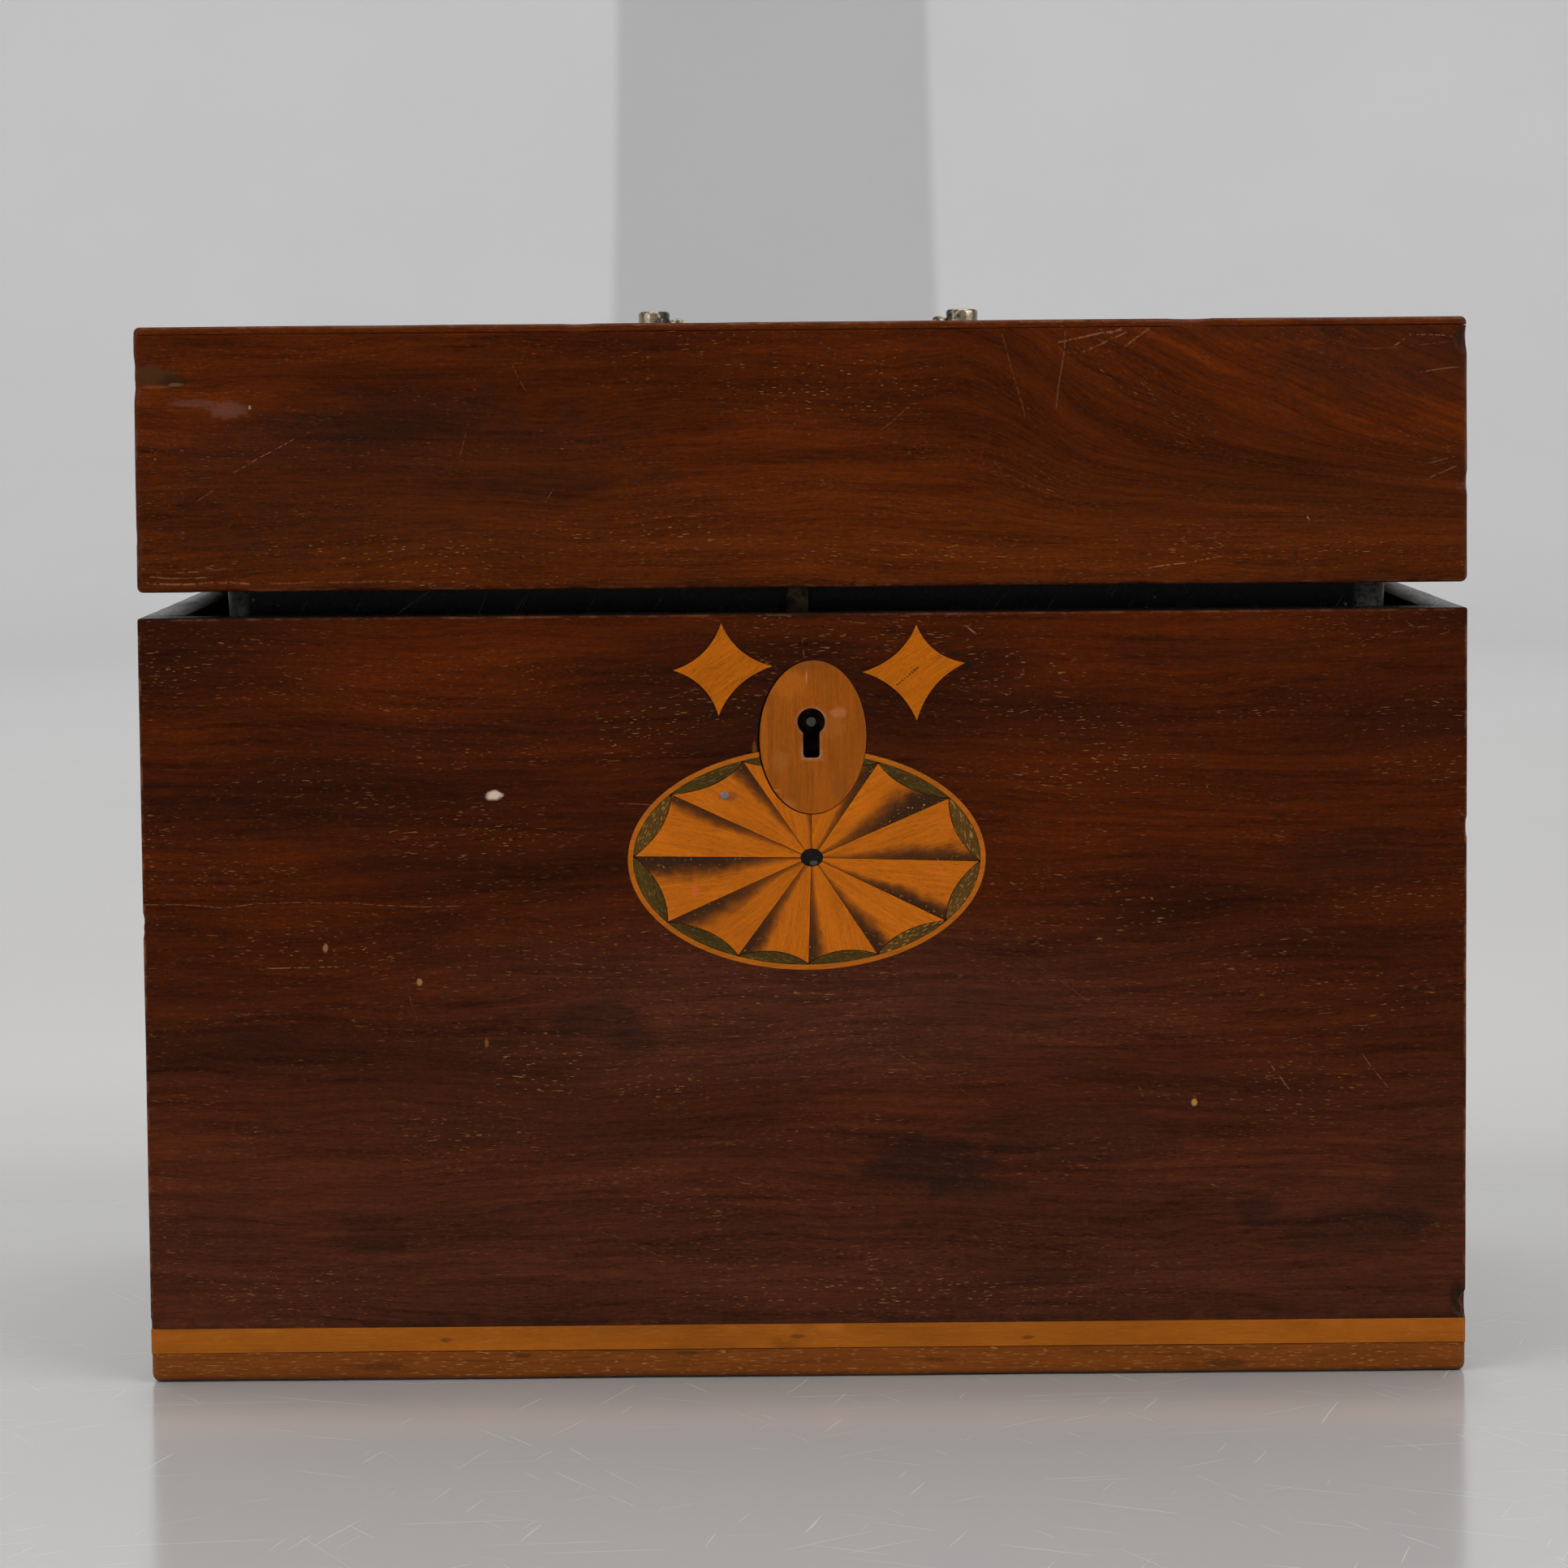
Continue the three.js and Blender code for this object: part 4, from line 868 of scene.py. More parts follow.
# What lies on each face, as places along the grain and up it, in mm.
MARKS = {
    "front": {
        "stains": [
            ((-38, 66), (10, 4), 0.42), ((-30, 62), (5, 3), 0.34), ((22, 39), (12, 5), 0.5),
            ((30, 35), (10, 2.5), 0.42), ((52, 44), (22, 6), 0.36), ((-78, 27), (8, 4), 0.34),
            ((-62, 28), (10, 3), 0.18), ((100, 26), (16, 5), 0.4), ((82, 30), (5, 4), 0.45),
            ((-98, 63), (8, 2.5), 0.25), ((112, 34), (8, 9), 0.26), ((-108, 33), (9, 7), 0.15),
            ((40, 18), (14, 2), 0.24), ((-60, 118), (26, 3), 0.12), ((70, 132), (24, 3), 0.14),
            ((100, 95), (14, 6), 0.18)],
        "patches": [
            ((-55.9, 107.2), (1.7, 1.0), tone(205, 180, 160), 0.85),
            ((-87, 79.6), (0.5, 0.9), tone(150, 110, 70), 0.6),
            ((-70, 73.3), (0.6, 0.8), tone(160, 110, 66), 0.7),
            ((118.5, 14.0), (1.6, 3.4), tone(38, 20, 12), 0.8),
            ((70.5, 50.0), (0.6, 0.8), tone(190, 130, 70), 0.7),
            ((-58.0, 62.0), (0.4, 1.0), tone(150, 96, 44), 0.4),
            ((-24.3, 129.4), (0.7, 0.5), GRIME_AND_SHADE, 0.9), ((-16.2, 121.4), (0.6, 0.8), GRIME_AND_SHADE, 0.95),
            ((10.0, 128.7), (0.8, 0.4), GRIME_AND_SHADE, 0.8), ((27.4, 132.0), (1.6, 0.35), GRIME_AND_SHADE, 0.95),
            ((29.9, 129.9), (0.8, 0.7), GRIME_AND_SHADE, 0.9), ((-10.6, 133.6), (0.9, 0.5), GRIME_AND_SHADE, 0.6),
            ((-8.4, 119.8), (0.5, 2.6), GRIME_AND_SHADE, 0.6), ((-8.9, 115.0), (0.4, 2.0), tone(110, 62, 30), 0.6)],
        "scratches": [
            ((-34.0, 105.2), (-4.0, 103.9), 0.10, 0.6), ((8.0, 104.3), (27.0, 103.4), 0.10, 0.7),
            ((-98, 76.4), (-84, 76.1), 0.16, 0.7), ((-120, 88.0), (-62, 87.4), 0.12, 0.5),
            ((-26, 124.0), (-8, 131.0), 0.08, 0.3), ((0.0, 131.5), (-0.8, 135.5), 0.12, 0.6),
            ((29.5, 137.6), (31.6, 135.6), 0.22, 0.8), ((22.0, 135.9), (27.0, 135.6), 0.12, 0.6),
            ((-40, 28.0), (-24, 22.0), 0.10, 0.35), ((84, 58), (88, 52), 0.18, 0.6),
            ((60, 54), (61.5, 51), 0.2, 0.6), ((101, 59), (106, 52), 0.14, 0.5),
            ((-72, 71), (-70.5, 66), 0.1, 0.4), ((36, 80), (52, 68), 0.08, 0.35),
            ((12, 62), (34, 49), 0.08, 0.3)],
        "specks": [
            ((-48, 57), (18, 10), 1.0), ((-26, 55), (14, 8), 1.0), ((-60, 100), (24, 8), 0.8),
            ((52, 112), (22, 9), 0.9), ((-95, 17), (24, 6), 0.9), ((20, 15), (60, 5), 0.9),
            ((90, 52), (18, 9), 0.7), ((-30, 118), (14, 9), 0.8)],
        "paler": [((4, 66), (104, 24), 0.95), ((-62, 34), (50, 20), 0.5)],
    },
    "back": {
        "stains": [((20, 60), (30, 8), 0.4), ((-70, 100), (20, 9), 0.4), ((80, 24), (24, 6), 0.5)],
        "patches": [((-30, 84), (4, 1.4), tone(92, 60, 40), 0.6)],
        "scratches": [((-60, 70), (-20, 92), 0.12, 0.4), ((30, 110), (64, 96), 0.1, 0.4)],
        "specks": [((60, 60), (40, 20), 0.7)],
    },
    "side": {
        "stains": [((-20, 80), (24, 8), 0.4), ((30, 40), (20, 6), 0.45), ((-40, 22), (14, 6), 0.5)],
        "patches": [((18, 108), (3.2, 1.2), tone(110, 74, 50), 0.6)],
        "scratches": [((-30, 60), (6, 82), 0.12, 0.4), ((20, 100), (44, 96), 0.1, 0.4)],
        "specks": [((10, 50), (40, 16), 0.7)],
    },
    "lid_front": {
        "stains": [
            ((-70, 171), (26, 5), 0.16), ((-90, 169), (16, 5), 0.18), ((106, 180), (24, 9), 0.34),
            ((-104, 163), (10, 6), 0.15), ((-40, 159), (22, 3), 0.16), ((-76, 162), (52, 17), 0.26),
            ((-104, 149), (12, 3), 0.2), ((84, 186), (26, 3), 0.25)],
        "patches": [
            ((-117.2, 179.2), (4.6, 1.9), tone(62, 38, 18), 0.85),
            ((-112.6, 178.0), (3.0, 1.3), tone(44, 26, 12), 0.8),
            ((-116.4, 177.0), (3.0, 0.3), tone(104, 66, 34), 0.5),
            ((-112.2, 177.4), (1.4, 0.4), tone(110, 78, 48), 0.45),
            ((-102.9, 172.9), (4.0, 1.7), tone(98, 66, 54), 0.45),
            ((-108.6, 174.0), (5.2, 0.8), tone(98, 66, 50), 0.4),
            ((-99.1, 173.2), (0.28, 0.5), tone(170, 150, 130), 0.5),
            ((118.8, 184), (1.4, 1.4), tone(36, 22, 16), 0.7)],
        "scratches": [
            ((-102.5, 161.5), (-90.5, 167.4), 0.12, 0.7), ((-109, 156.4), (-105.6, 158.6), 0.1, 0.5),
            ((-47.0, 155.0), (-44.6, 158.4), 0.12, 0.5), ((46.0, 183.4), (58.5, 186.0), 0.3, 0.6),
            ((50.4, 181.6), (59.0, 185.6), 0.25, 0.5), ((58, 182.6), (63.4, 186.2), 0.3, 0.5),
            ((54.0, 184.4), (60.0, 187.2), 0.24, 0.5), ((62, 142.8), (76, 144.8), 0.18, 0.8),
            ((106.4, 182.6), (110.0, 184.9), 0.22, 0.5), ((110.0, 184.6), (117.5, 184.0), 0.16, 0.6),
            ((90.5, 152.2), (91.4, 151.0), 0.3, 0.9), ((100, 182.2), (117, 183.0), 0.1, 0.3),
            ((-118.5, 141.5), (-99.0, 141.3), 0.3, 0.55), ((-118.0, 142.6), (-107.0, 142.3), 0.2, 0.5),
            ((-96.0, 141.6), (-70.0, 141.4), 0.25, 0.3), ((-113, 143.4), (-104, 143.6), 0.15, 0.4),
            ((36.0, 185.6), (40.5, 170.0), 0.2, 0.25), ((47.6, 186.0), (46.2, 171.0), 0.25, 0.25),
            ((-52, 181.0), (-49.0, 175.6), 0.1, 0.4), ((-60, 168.6), (-61.4, 164.0), 0.12, 0.35),
            ((14, 168.0), (19.5, 173.0), 0.1, 0.35), ((111.0, 177.6), (118.8, 178.6), 0.18, 0.5),
            ((112, 158.4), (118.5, 160.8), 0.25, 0.35), ((112.6, 161.2), (118.6, 162.6), 0.2, 0.3)],
        "specks": [
            ((-70, 147), (36, 5), 1.2), ((-30, 150), (30, 6), 1.0), ((70, 148), (22, 5), 0.9),
            ((100, 146), (14, 5), 0.8), ((20, 146), (40, 5), 0.8), ((6, 176), (28, 9), 1.1)],
    },
    "lid_back": {
        "stains": [((30, 165), (30, 9), 0.35)],
        "patches": [((-60, 172), (3, 1.2), tone(110, 76, 56), 0.6)],
        "scratches": [((-20, 150), (20, 168), 0.12, 0.4)],
        "specks": [((-60, 150), (40, 8), 0.8)],
    },
    "lid_side": {
        "stains": [((-20, 168), (24, 7), 0.35)],
        "patches": [((24, 160), (3, 1.1), tone(110, 76, 56), 0.6)],
        "scratches": [((-30, 150), (0, 164), 0.12, 0.45)],
        "specks": [((10, 148), (40, 6), 0.8)],
    },
    "lid_top": {
        "stains": [((-60, 20), (34, 16), 0.35), ((50, -20), (30, 12), 0.3), ((2, 8), (34, 14), 0.3)],
        "patches": [((-80, -30), (4, 2), tone(110, 78, 60), 0.6), ((66, 34), (3, 2), tone(110, 78, 60), 0.6)],
        "scratches": [
            ((-70, -40), (-20, -10), 0.14, 0.4), ((20, 20), (70, 44), 0.12, 0.4),
            ((-20, 30), (24, 22), 0.18, 0.5), ((60, -50), (100, -20), 0.12, 0.35)],
        "specks": [((0, 0), (100, 60), 0.35)],
    },
}
# Bruised places on the edges, as place, size and depth.
DENTS = {
    "front": [((HALF_X, FACE, 12.5), 2.6, 1.3), ((-HALF_X, FACE, 10.4), 1.6, 0.5),
              ((HALF_X, FACE, 100), 2.0, 0.4), ((-HALF_X, FACE, 84), 2.4, 0.35),
              ((-60, FACE, CASE_HI[2]), 2.2, 0.3), ((48, FACE, CASE_HI[2]), 1.8, 0.35)],
    "back": [((-HALF_X, HALF_Y, 60), 3, 0.5), ((HALF_X, HALF_Y, 120), 2.4, 0.4)],
    "lid_front": [((-HALF_X, FACE, 178.6), 4.6, 0.35), ((HALF_X, FACE, 184), 3.0, 0.6),
                  ((HALF_X, FACE, 158), 2.2, 0.5), ((-104, FACE, LID_LO[2]), 6.0, 0.35),
                  ((-40, FACE, LID_LO[2]), 3.0, 0.2), ((60, FACE, LID_LO[2]), 4.0, 0.22),
                  ((-HALF_X, FACE, 150), 2.0, 0.3)],
    "lid_back": [((HALF_X, HALF_Y, 150), 3, 0.5)],
    "lid_top": [((-40, FACE, LID_HI[2]), 3.0, 0.25), ((70, FACE, LID_HI[2]), 4.0, 0.3),
                ((HALF_X, -40, LID_HI[2]), 4.0, 0.4)],
}


def wall(part, node, seed, wood_seed, cutters=(), foot=None, **shape):
    """One mahogany board of the case or the lid, standing for a CAD node."""
    face = part.split("_")[-1]
    on_lid = node in BODIES["lid"]
    shell, corner = (LID_SHELL, 1.25) if on_lid else (CASE_SHELL, 0.55)
    marks = part
    lo, hi = extent(node)
    if face in ("left", "right"):
        marks = "lid_side" if on_lid else "side"
        lo[1] -= 0.3 - SEAM
        hi[1] += 0.3 - SEAM
    if foot is not None:
        lo[2] = foot
    mesh = board(f"{part}_board", lo, hi, shell, corner, dents=DENTS.get(part, ()), seed=seed, **shape)
    if cutters:
        mesh = carve(mesh, *cutters)
    swirl = diagonal_swirl if part == "lid_front" else None
    wood = mahogany(f"mahogany_{part}", face, on_lid, wood_seed, swirl=swirl, **MARKS[marks])
    owner = "lid" if on_lid else "case"
    piece(f"{part}_board", mesh, wood, owner, f"mahogany_{owner}", node)


def rebates(*faces):
    """Cutters for the steps at the foot that the edging strips lie in."""
    made = []
    for face in faces:
        axis, out = FACES[face][2:]
        far = (HALF_X, HALF_Y)[axis]
        lo, hi = [-HALF_X - 1, -HALF_Y - 1, -1], [HALF_X + 1, HALF_Y + 1, EDGING_TOP + SEAM]
        if out < 0:
            hi[axis] = -far + EDGING_DEPTH - SEAM
        else:
            lo[axis] = far - EDGING_DEPTH + SEAM
        made.append(block(lo, hi))
    return made


def hinge_recesses(owner):
    """Cutters for the two leaves let into a rim."""
    rim = CASE_HI[2] if owner == "case" else LID_LO[2]
    low, high = (rim - LET_IN, rim + 1) if owner == "case" else (rim - 1, rim + LET_IN)
    cutters = []
    for side in ("left", "right"):
        lo, hi = extent(f"{side}_hinge_{owner}_leaf")
        cutters.append(block((lo[0] - SEAM, lo[1] - SEAM, low), (hi[0] + SEAM, HALF_Y + 1, high)))
    return cutters


def front_cutters():
    """Cutters for the inlays, the keyhole, and the lock let in from the back and the top."""
    pockets = [oval(ESCUTCHEON, 0.24, 0.16, shift=-0.12), oval(PATERA, 0.07, 0.07, 160),
               lozenge("left", 0.16), lozenge("right", 0.16)]
    cutters = [sheet_cut("cutter", [outline], FACE - 1, FACE + POCKET) for outline in pockets]
    cutters.append(sheet_cut("cutter", [keyhole(0.35)[::-1]], FACE - 2, FACE + WALL + 1))
    lock_lo, lock_hi = extent("lock_plate")
    case_lo, case_hi = extent("lock_case")
    beyond, top = FACE + WALL + 1, CASE_HI[2] + 1
    end = (lock_hi[0] + SEAM, beyond, top)
    cutters.append(block((lock_lo[0] - SEAM, FACE + WALL - 1.03, lock_lo[2] - SEAM), end))
    cutters.append(block((lock_lo[0] - SEAM, lock_lo[1] - SEAM, CASE_HI[2] - 1.05), end))
    cutters.append(block(case_lo - SEAM, (case_hi[0] + SEAM, beyond, top)))
    return cutters


def case_walls():
    cutters = front_cutters() + rebates("front", "left", "right")
    wall("front", "front_wall", 3, 1.0, cutters, step=3.2, warp=0.025)
    cutters = rebates("back", "left", "right") + hinge_recesses("case")
    wall("back", "back_wall", 14, 5.0, cutters, step=4.5)
    wall("left", "left_wall", 19, 8.0, rebates("left"), step=4.0)
    wall("right", "right_wall", 21, 11.0, rebates("right"), step=4.0)


def strips():
    """The light string and the brown foot strip, mitre-free: front and back run right across."""
    middle = (extent("front_plinth")[1][2] + extent("front_string")[0][2]) / 2
    string_knots = [((-66, 7.4), (1.2, 0.5)), ((-2, 7.6), (1.6, 0.4)), ((40, 7.0), (1.2, 0.4))]
    foot_knots = [((-78, 2.6), (4.5, 0.9)), ((-52, 4.4), (1.6, 0.5)), ((-22, 4.6), (2.2, 0.5)),
                  ((76, 2.0), (4.0, 0.9)), ((24, 3.0), (3.0, 0.6))]
    for face in ("front", "back", "left", "right"):
        seed = 30 + 3 * list(FACES).index(face)
        string_lo, string_hi = extent(f"{face}_string")
        foot_lo, foot_hi = extent(f"{face}_plinth")
        string_lo[2], foot_hi[2] = middle + 0.01, middle - 0.01
        if face in ("left", "right"):
            for lo, hi in ((string_lo, string_hi), (foot_lo, foot_hi)):
                lo[1] += SEAM
                hi[1] -= SEAM
        knots = (string_knots, foot_knots) if face == "front" else ((), ())
        name = f"{face}_string_strip"
        mesh = board(name, string_lo, string_hi, CASE_SHELL, 0.5, 0.07, 2.4, 0.02, seed=seed)
        wood = strip_wood(f"boxwood_{face}", face, *STRING_TONES, seed, 0.35, knots[0])
        piece(name, mesh, wood, "case", "string_wood", f"{face}_string")
        name = f"{face}_foot_strip"
        mesh = board(name, foot_lo, foot_hi, CASE_SHELL, 1.5, 0.1, 2.4, 0.05, seed=seed + 1)
        wood = strip_wood(f"foot_wood_{face}", face, *FOOT_TONES, seed + 1.5, 1.0, knots[1])
        piece(name, mesh, wood, "case", "base_strip", f"{face}_plinth")


def inside_of_case():
    mesh = board("bottom_board", *extent("base_board"), step=8, radius=0.3, warp=0.05, seed=41)
    wood = carcase_wood("bare_bottom", 0, tone(104, 72, 46), 44.0)
    piece("bottom_board", mesh, wood, "case", "inner_wood", "base_board")
    for node in ("left_lining", "right_lining"):
        mesh = board(f"{node}_slip", *extent(node), step=5, radius=0.25, warp=0.06, seed=43)
        wood = carcase_wood(f"bare_{node}", 1, tone(92, 58, 36), 47.0)
        piece(f"{node}_slip", mesh, wood, "case", "inner_wood", node)


# --- inlay ----------------------------------------------------------------------

SATIN = tone(170, 88, 6)
SHADOW = tone(36, 21, 10)
# For each petal, from the one above the right-hand ray: how dark its burnt side is, how wide that
# side is at the rim in mm, and how light the wood is.
PETALS = (
    (0.80, 2.6, 0.98), (1.00, 5.6, 1.04), (0.90, 3.0, 0.96), (0.80, 2.8, 1.0),
    (0.85, 2.8, 1.0), (0.75, 1.9, 1.03), (1.00, 3.9, 1.0), (0.85, 3.4, 0.97),
    (0.90, 3.2, 0.98), (0.95, 3.2, 1.02), (0.95, 3.4, 1.06), (0.95, 2.5, 1.05),
)


def burnt(ray, depth, width, seed):
    """Hot-sand shading along a petal's clockwise side, widest at the rim."""
    ux, uz = math.cos(math.radians(ray)), math.sin(math.radians(ray))

    def formula(g, x, z, grit, colour):
        out = (x - DOT["x"]) * ux + (z - DOT["z"]) * uz
        beside = abs((x - DOT["x"]) * -uz + (z - DOT["z"]) * ux)
        share = g.step(out, 1.0, 22.0)
        smoke = (g.noise((x, z, seed), (2.4, 2.4, 1), seed, 2.0, 0.6) - 0.5) * 0.7
        edge = share * width + 0.45
        kept = 1.0 - g.step(beside / edge + smoke, 1.2, 0.1) * (share * 0.6 + 0.4) * depth
        dark = 1.0 - kept * kept
        colour = g.mix(dark * 0.97, colour, SHADOW)
        fleck = g.step(grit, 0.66, 0.74) * g.step(dark, 0.9, 0.99)
        return g.mix(fleck * 0.5, colour, tone(196, 150, 84))
    return formula


def around_keyhole(g, x, z, ragged):
    """The bruised pale wood just round the keyhole."""
    round_part = oval_distance(g, x, z, (KEYHOLE["x"], KEYHOLE["z"]), (1, 1)) - KEYHOLE["r"]
    side = abs(x - KEYHOLE["x"]) - KEYHOLE["slot"] / 2
    down = abs(z - (KEYHOLE["z"] - KEYHOLE["drop"] / 2)) - KEYHOLE["drop"] / 2
    hole = g.least(round_part, g.most(side, down))
    return g.step(hole + ragged * 0.6, 0.7, 0.0) * g.step(ragged, 0.3, -0.4) * 0.75


def under_plate():
    """A cutter for the part of the fan that the key plate lies over."""
    outline = oval(ESCUTCHEON, 0.2, 0.16, shift=-0.12)
    return sheet_cut("cutter", [outline], FACE - 1, FACE + INLAY_THICK + 0.2)


PLATE_MARKS = (
    ((1.5, 110.2), (0.16, 2.4), tone(96, 50, 18), 0.6), ((-4.2, 113), (1.8, 2.2), tone(150, 92, 40), 0.35),
    ((5.4, 119.0), (2.2, 2.6), tone(150, 88, 36), 0.3), ((-5.4, 107.6), (1.2, 0.3), tone(176, 116, 64), 0.5),
    ((0.6, 128.0), (0.18, 1.5), tone(190, 130, 84), 0.45), ((1.7, 130.3), (7, 0.9), tone(116, 62, 22), 0.4),
    ((-7.0, 116), (0.7, 7), tone(170, 92, 20), 0.35), ((-3.6, 104.6), (2.4, 1.7), tone(170, 106, 60), 0.4),
    ((6.4, 121.6), (1.7, 1.1), tone(178, 114, 70), 0.35),
    ((-2.6, 126.6), (4.2, 2.6), tone(166, 88, 18), 0.45), ((6.8, 108.4), (1.4, 3.2), tone(118, 62, 16), 0.4),
)
PETAL_MARKS = {
    4: [((-13.8, 106.6), (2.0, 0.9), tone(70, 46, 30), 0.5)],
    6: [((-20.0, 89.6), (0.7, 1.4), tone(190, 84, 44), 0.5)],
}
FLECKED = (0, 5, 10, 11)


def inlaid(name, loops, material, front, bevel, *nodes, slot="inlay_wood", behind=False):
    """A flat inlay, with what the key plate hides cut away where it lies behind it."""
    mesh = sheet_cut(name, loops, front, FACE + INLAY_THICK, bevel)
    if behind:
        mesh = carve(mesh, under_plate())
    return piece(name, mesh, material, "case", slot, *nodes)


def inlays():
    wood = veneer("boxwood_key_plate", tone(136, 69, 6), 90.0, 3.0, PLATE_MARKS,
                  edge_tone=(around_keyhole, tone(150, 112, 84)), pores=0.25)
    inlaid("key_escutcheon", [oval(ESCUTCHEON), keyhole()], wood, FACE - 0.06, 0.07, "escutcheon")

    crack = [((17.0 + 0.45 * i, 126.6 + 0.37 * i), (0.28, 0.2), tone(70, 32, 8), 0.95) for i in range(9)]
    for side, grain, seed, marks in (("left", 38.0, 7.0, ()), ("right", 34.0, 9.0, crack)):
        wood = veneer(f"satinwood_{side}_star", tone(163, 85, 1), grain, seed, marks, pores=0.5, figure=0.35)
        inlaid(f"{side}_star", [lozenge(side)], wood, FACE - 0.02, 0.05, f"{side}_lozenge")

    loops = [oval(PATERA, count=180), oval(PATERA, -RING_WIDTH, -RING_WIDTH, 180)[::-1]]
    wood = veneer("boxwood_stringing", tone(158, 84, 12), 8.0, 13.0, pores=0.35)
    inlaid("oval_stringing", loops, wood, FACE - 0.02, 0.04, "patera_ring", behind=True)

    rng = np.random.default_rng(12)
    edge = RING_WIDTH + 0.05
    for i, (depth, width, light) in enumerate(PETALS):
        start, end = RAYS[i], (RAYS + (RAYS[0] + 360,))[i + 1]
        behind = 40 < (start + end) / 2 < 145
        first, last = cusp(start, edge + 0.12), cusp(end, edge + 0.12)
        sink = PETAL_SINK * np.linalg.norm(last - first) / 13.5
        rim = hollow_side(first, last, HEART, sink, 18)
        inner = [(DOT["x"] + (DOT["a"] - 0.1) * math.cos(t), DOT["z"] + (DOT["b"] - 0.1) * math.sin(t))
                 for t in np.radians(np.linspace(end, start, 7))]
        petal = inset(np.concatenate([rim, [last], inner]), 0.045)
        along_oval = [cusp(angle, edge) for angle in np.linspace(start + 0.25, end - 0.25, 24)]
        lune = inset(np.concatenate([along_oval, hollow_side(last, first, HEART, sink - 0.06, 18)[1:]]), 0.02)

        front = FACE - rng.uniform(0.0, 0.05)
        grain = (start + end) / 2 + rng.uniform(-9, 9)
        paint = tuple(c * light for c in SATIN[:3]) + (1.0,)
        wood = veneer(f"satinwood_petal_{i + 1:02d}", paint, grain, 20.0 + i * 1.7, PETAL_MARKS.get(i, ()),
                      shade=burnt(start, depth, width, 3.0 + i), pores=0.35)
        nodes = ("patera_fan",) if i == 0 else ()
        inlaid(f"petal_{i + 1:02d}", [petal], wood, front, 0.03, *nodes, behind=behind)
        chord = math.degrees(math.atan2(*(last - first)[::-1]))
        green, pores = (tone(78, 52, 15), 0.75) if i in FLECKED else (tone(60, 44, 10), 0.25)
        wood = veneer(f"green_wood_{i + 1:02d}", green, chord, 50.0 + i * 1.3, pores=pores, figure=1.0,
                      pore_tone=tone(168, 130, 62))
        nodes = ("patera_ground",) if i == 0 else ()
        inlaid(f"crescent_{i + 1:02d}", [lune], wood, FACE + 0.01, 0.03, *nodes, slot="green_wood",
               behind=behind)

    marks = [((1.6, 94.4), (0.8, 0.5), tone(92, 82, 70), 0.5)]
    wood = veneer("ebony_boss", tone(14, 14, 16), 20.0, 71.0, marks, pores=0.3)
    inlaid("fan_boss", [oval(DOT, -0.14, -0.14, 48)], wood, FACE, 0.05, slot="green_wood")
    plug = sheet_cut("repair_pin", [oval(REPAIR, count=28)], FACE - 0.1, FACE + 0.5, 0.06)
    lead = metal("pin_lead", tone(130, 132, 138), tone(84, 86, 94), 74.0)
    piece("repair_pin", plug, lead, "case", "iron")


# --- lid ----------------------------------------------------------------------


def diagonal_swirl(g, run, rise):
    """Grain that climbs away from the level towards the right-hand end."""
    amount = g.step(run, 22.0, 52.0) * g.step(rise, LID_LO[2] + 4, LID_LO[2] + 26)
    return amount * (run - 22.0) * 0.42


def lid():
    plate_lo, plate_hi = extent("strike_plate")
    recess = block((plate_lo[0] - SEAM, plate_lo[1] - SEAM, LID_LO[2] - 1),
                   (plate_hi[0] + SEAM, plate_hi[1] + 0.5, LID_LO[2] + LET_IN))
    wall("lid_front", "lid_front", 51, 15.0, [recess], step=3.0, warp=0.03)
    wall("lid_back", "lid_back", 55, 18.0, hinge_recesses("lid"), step=4.5)
    wall("lid_left", "lid_left", 21, 21.0, step=4.0)
    wall("lid_right", "lid_right", 24, 24.0, step=4.0)
    wall_top = extent("lid_front")[1][2]
    wall("lid_top", "lid_top", 61, 27.0, foot=wall_top + 0.02, radius=0.2, step=4.0, warp=0.04)
    under = extent("lid_top")[0][2]
    panel = board("lid_panel", (-INNER_X + SEAM, -INNER_Y + SEAM, under),
                  (INNER_X - SEAM, INNER_Y - SEAM, wall_top + 0.3), radius=0.3, step=6.0, warp=0.05, seed=63)
    piece("lid_panel", panel, carcase_wood("bare_lid_panel", 0, tone(98, 62, 40), 66.0), "lid", "inner_wood")


# --- handle ---------------------------------------------------------------------

POST_RADIUS, POST_HEIGHT, SHOULDER = 3.05, 4.6, 0.62
PIVOT_HEIGHT = 2.25
BAIL_DROOP = math.radians(2.3)
BAIL_ARM, BAIL_REACH, BAIL_BEND = 25.1, 21.0, 8.0
ROD, GRIP, GRIP_HALF = 0.95, 1.05, 15.0
COLLAR, COLLAR_FROM_END, COLLAR_WIDTH = 0.1, 1.4, 0.45
EYE = ((0.2, -1.05), (0.7, -0.9), (0.95, -0.5), (1.0, 0.0), (0.98, 0.6), (0.8, 1.0), (0.72, 1.5), (0.7, 4.2),
       (0.5, 4.35))


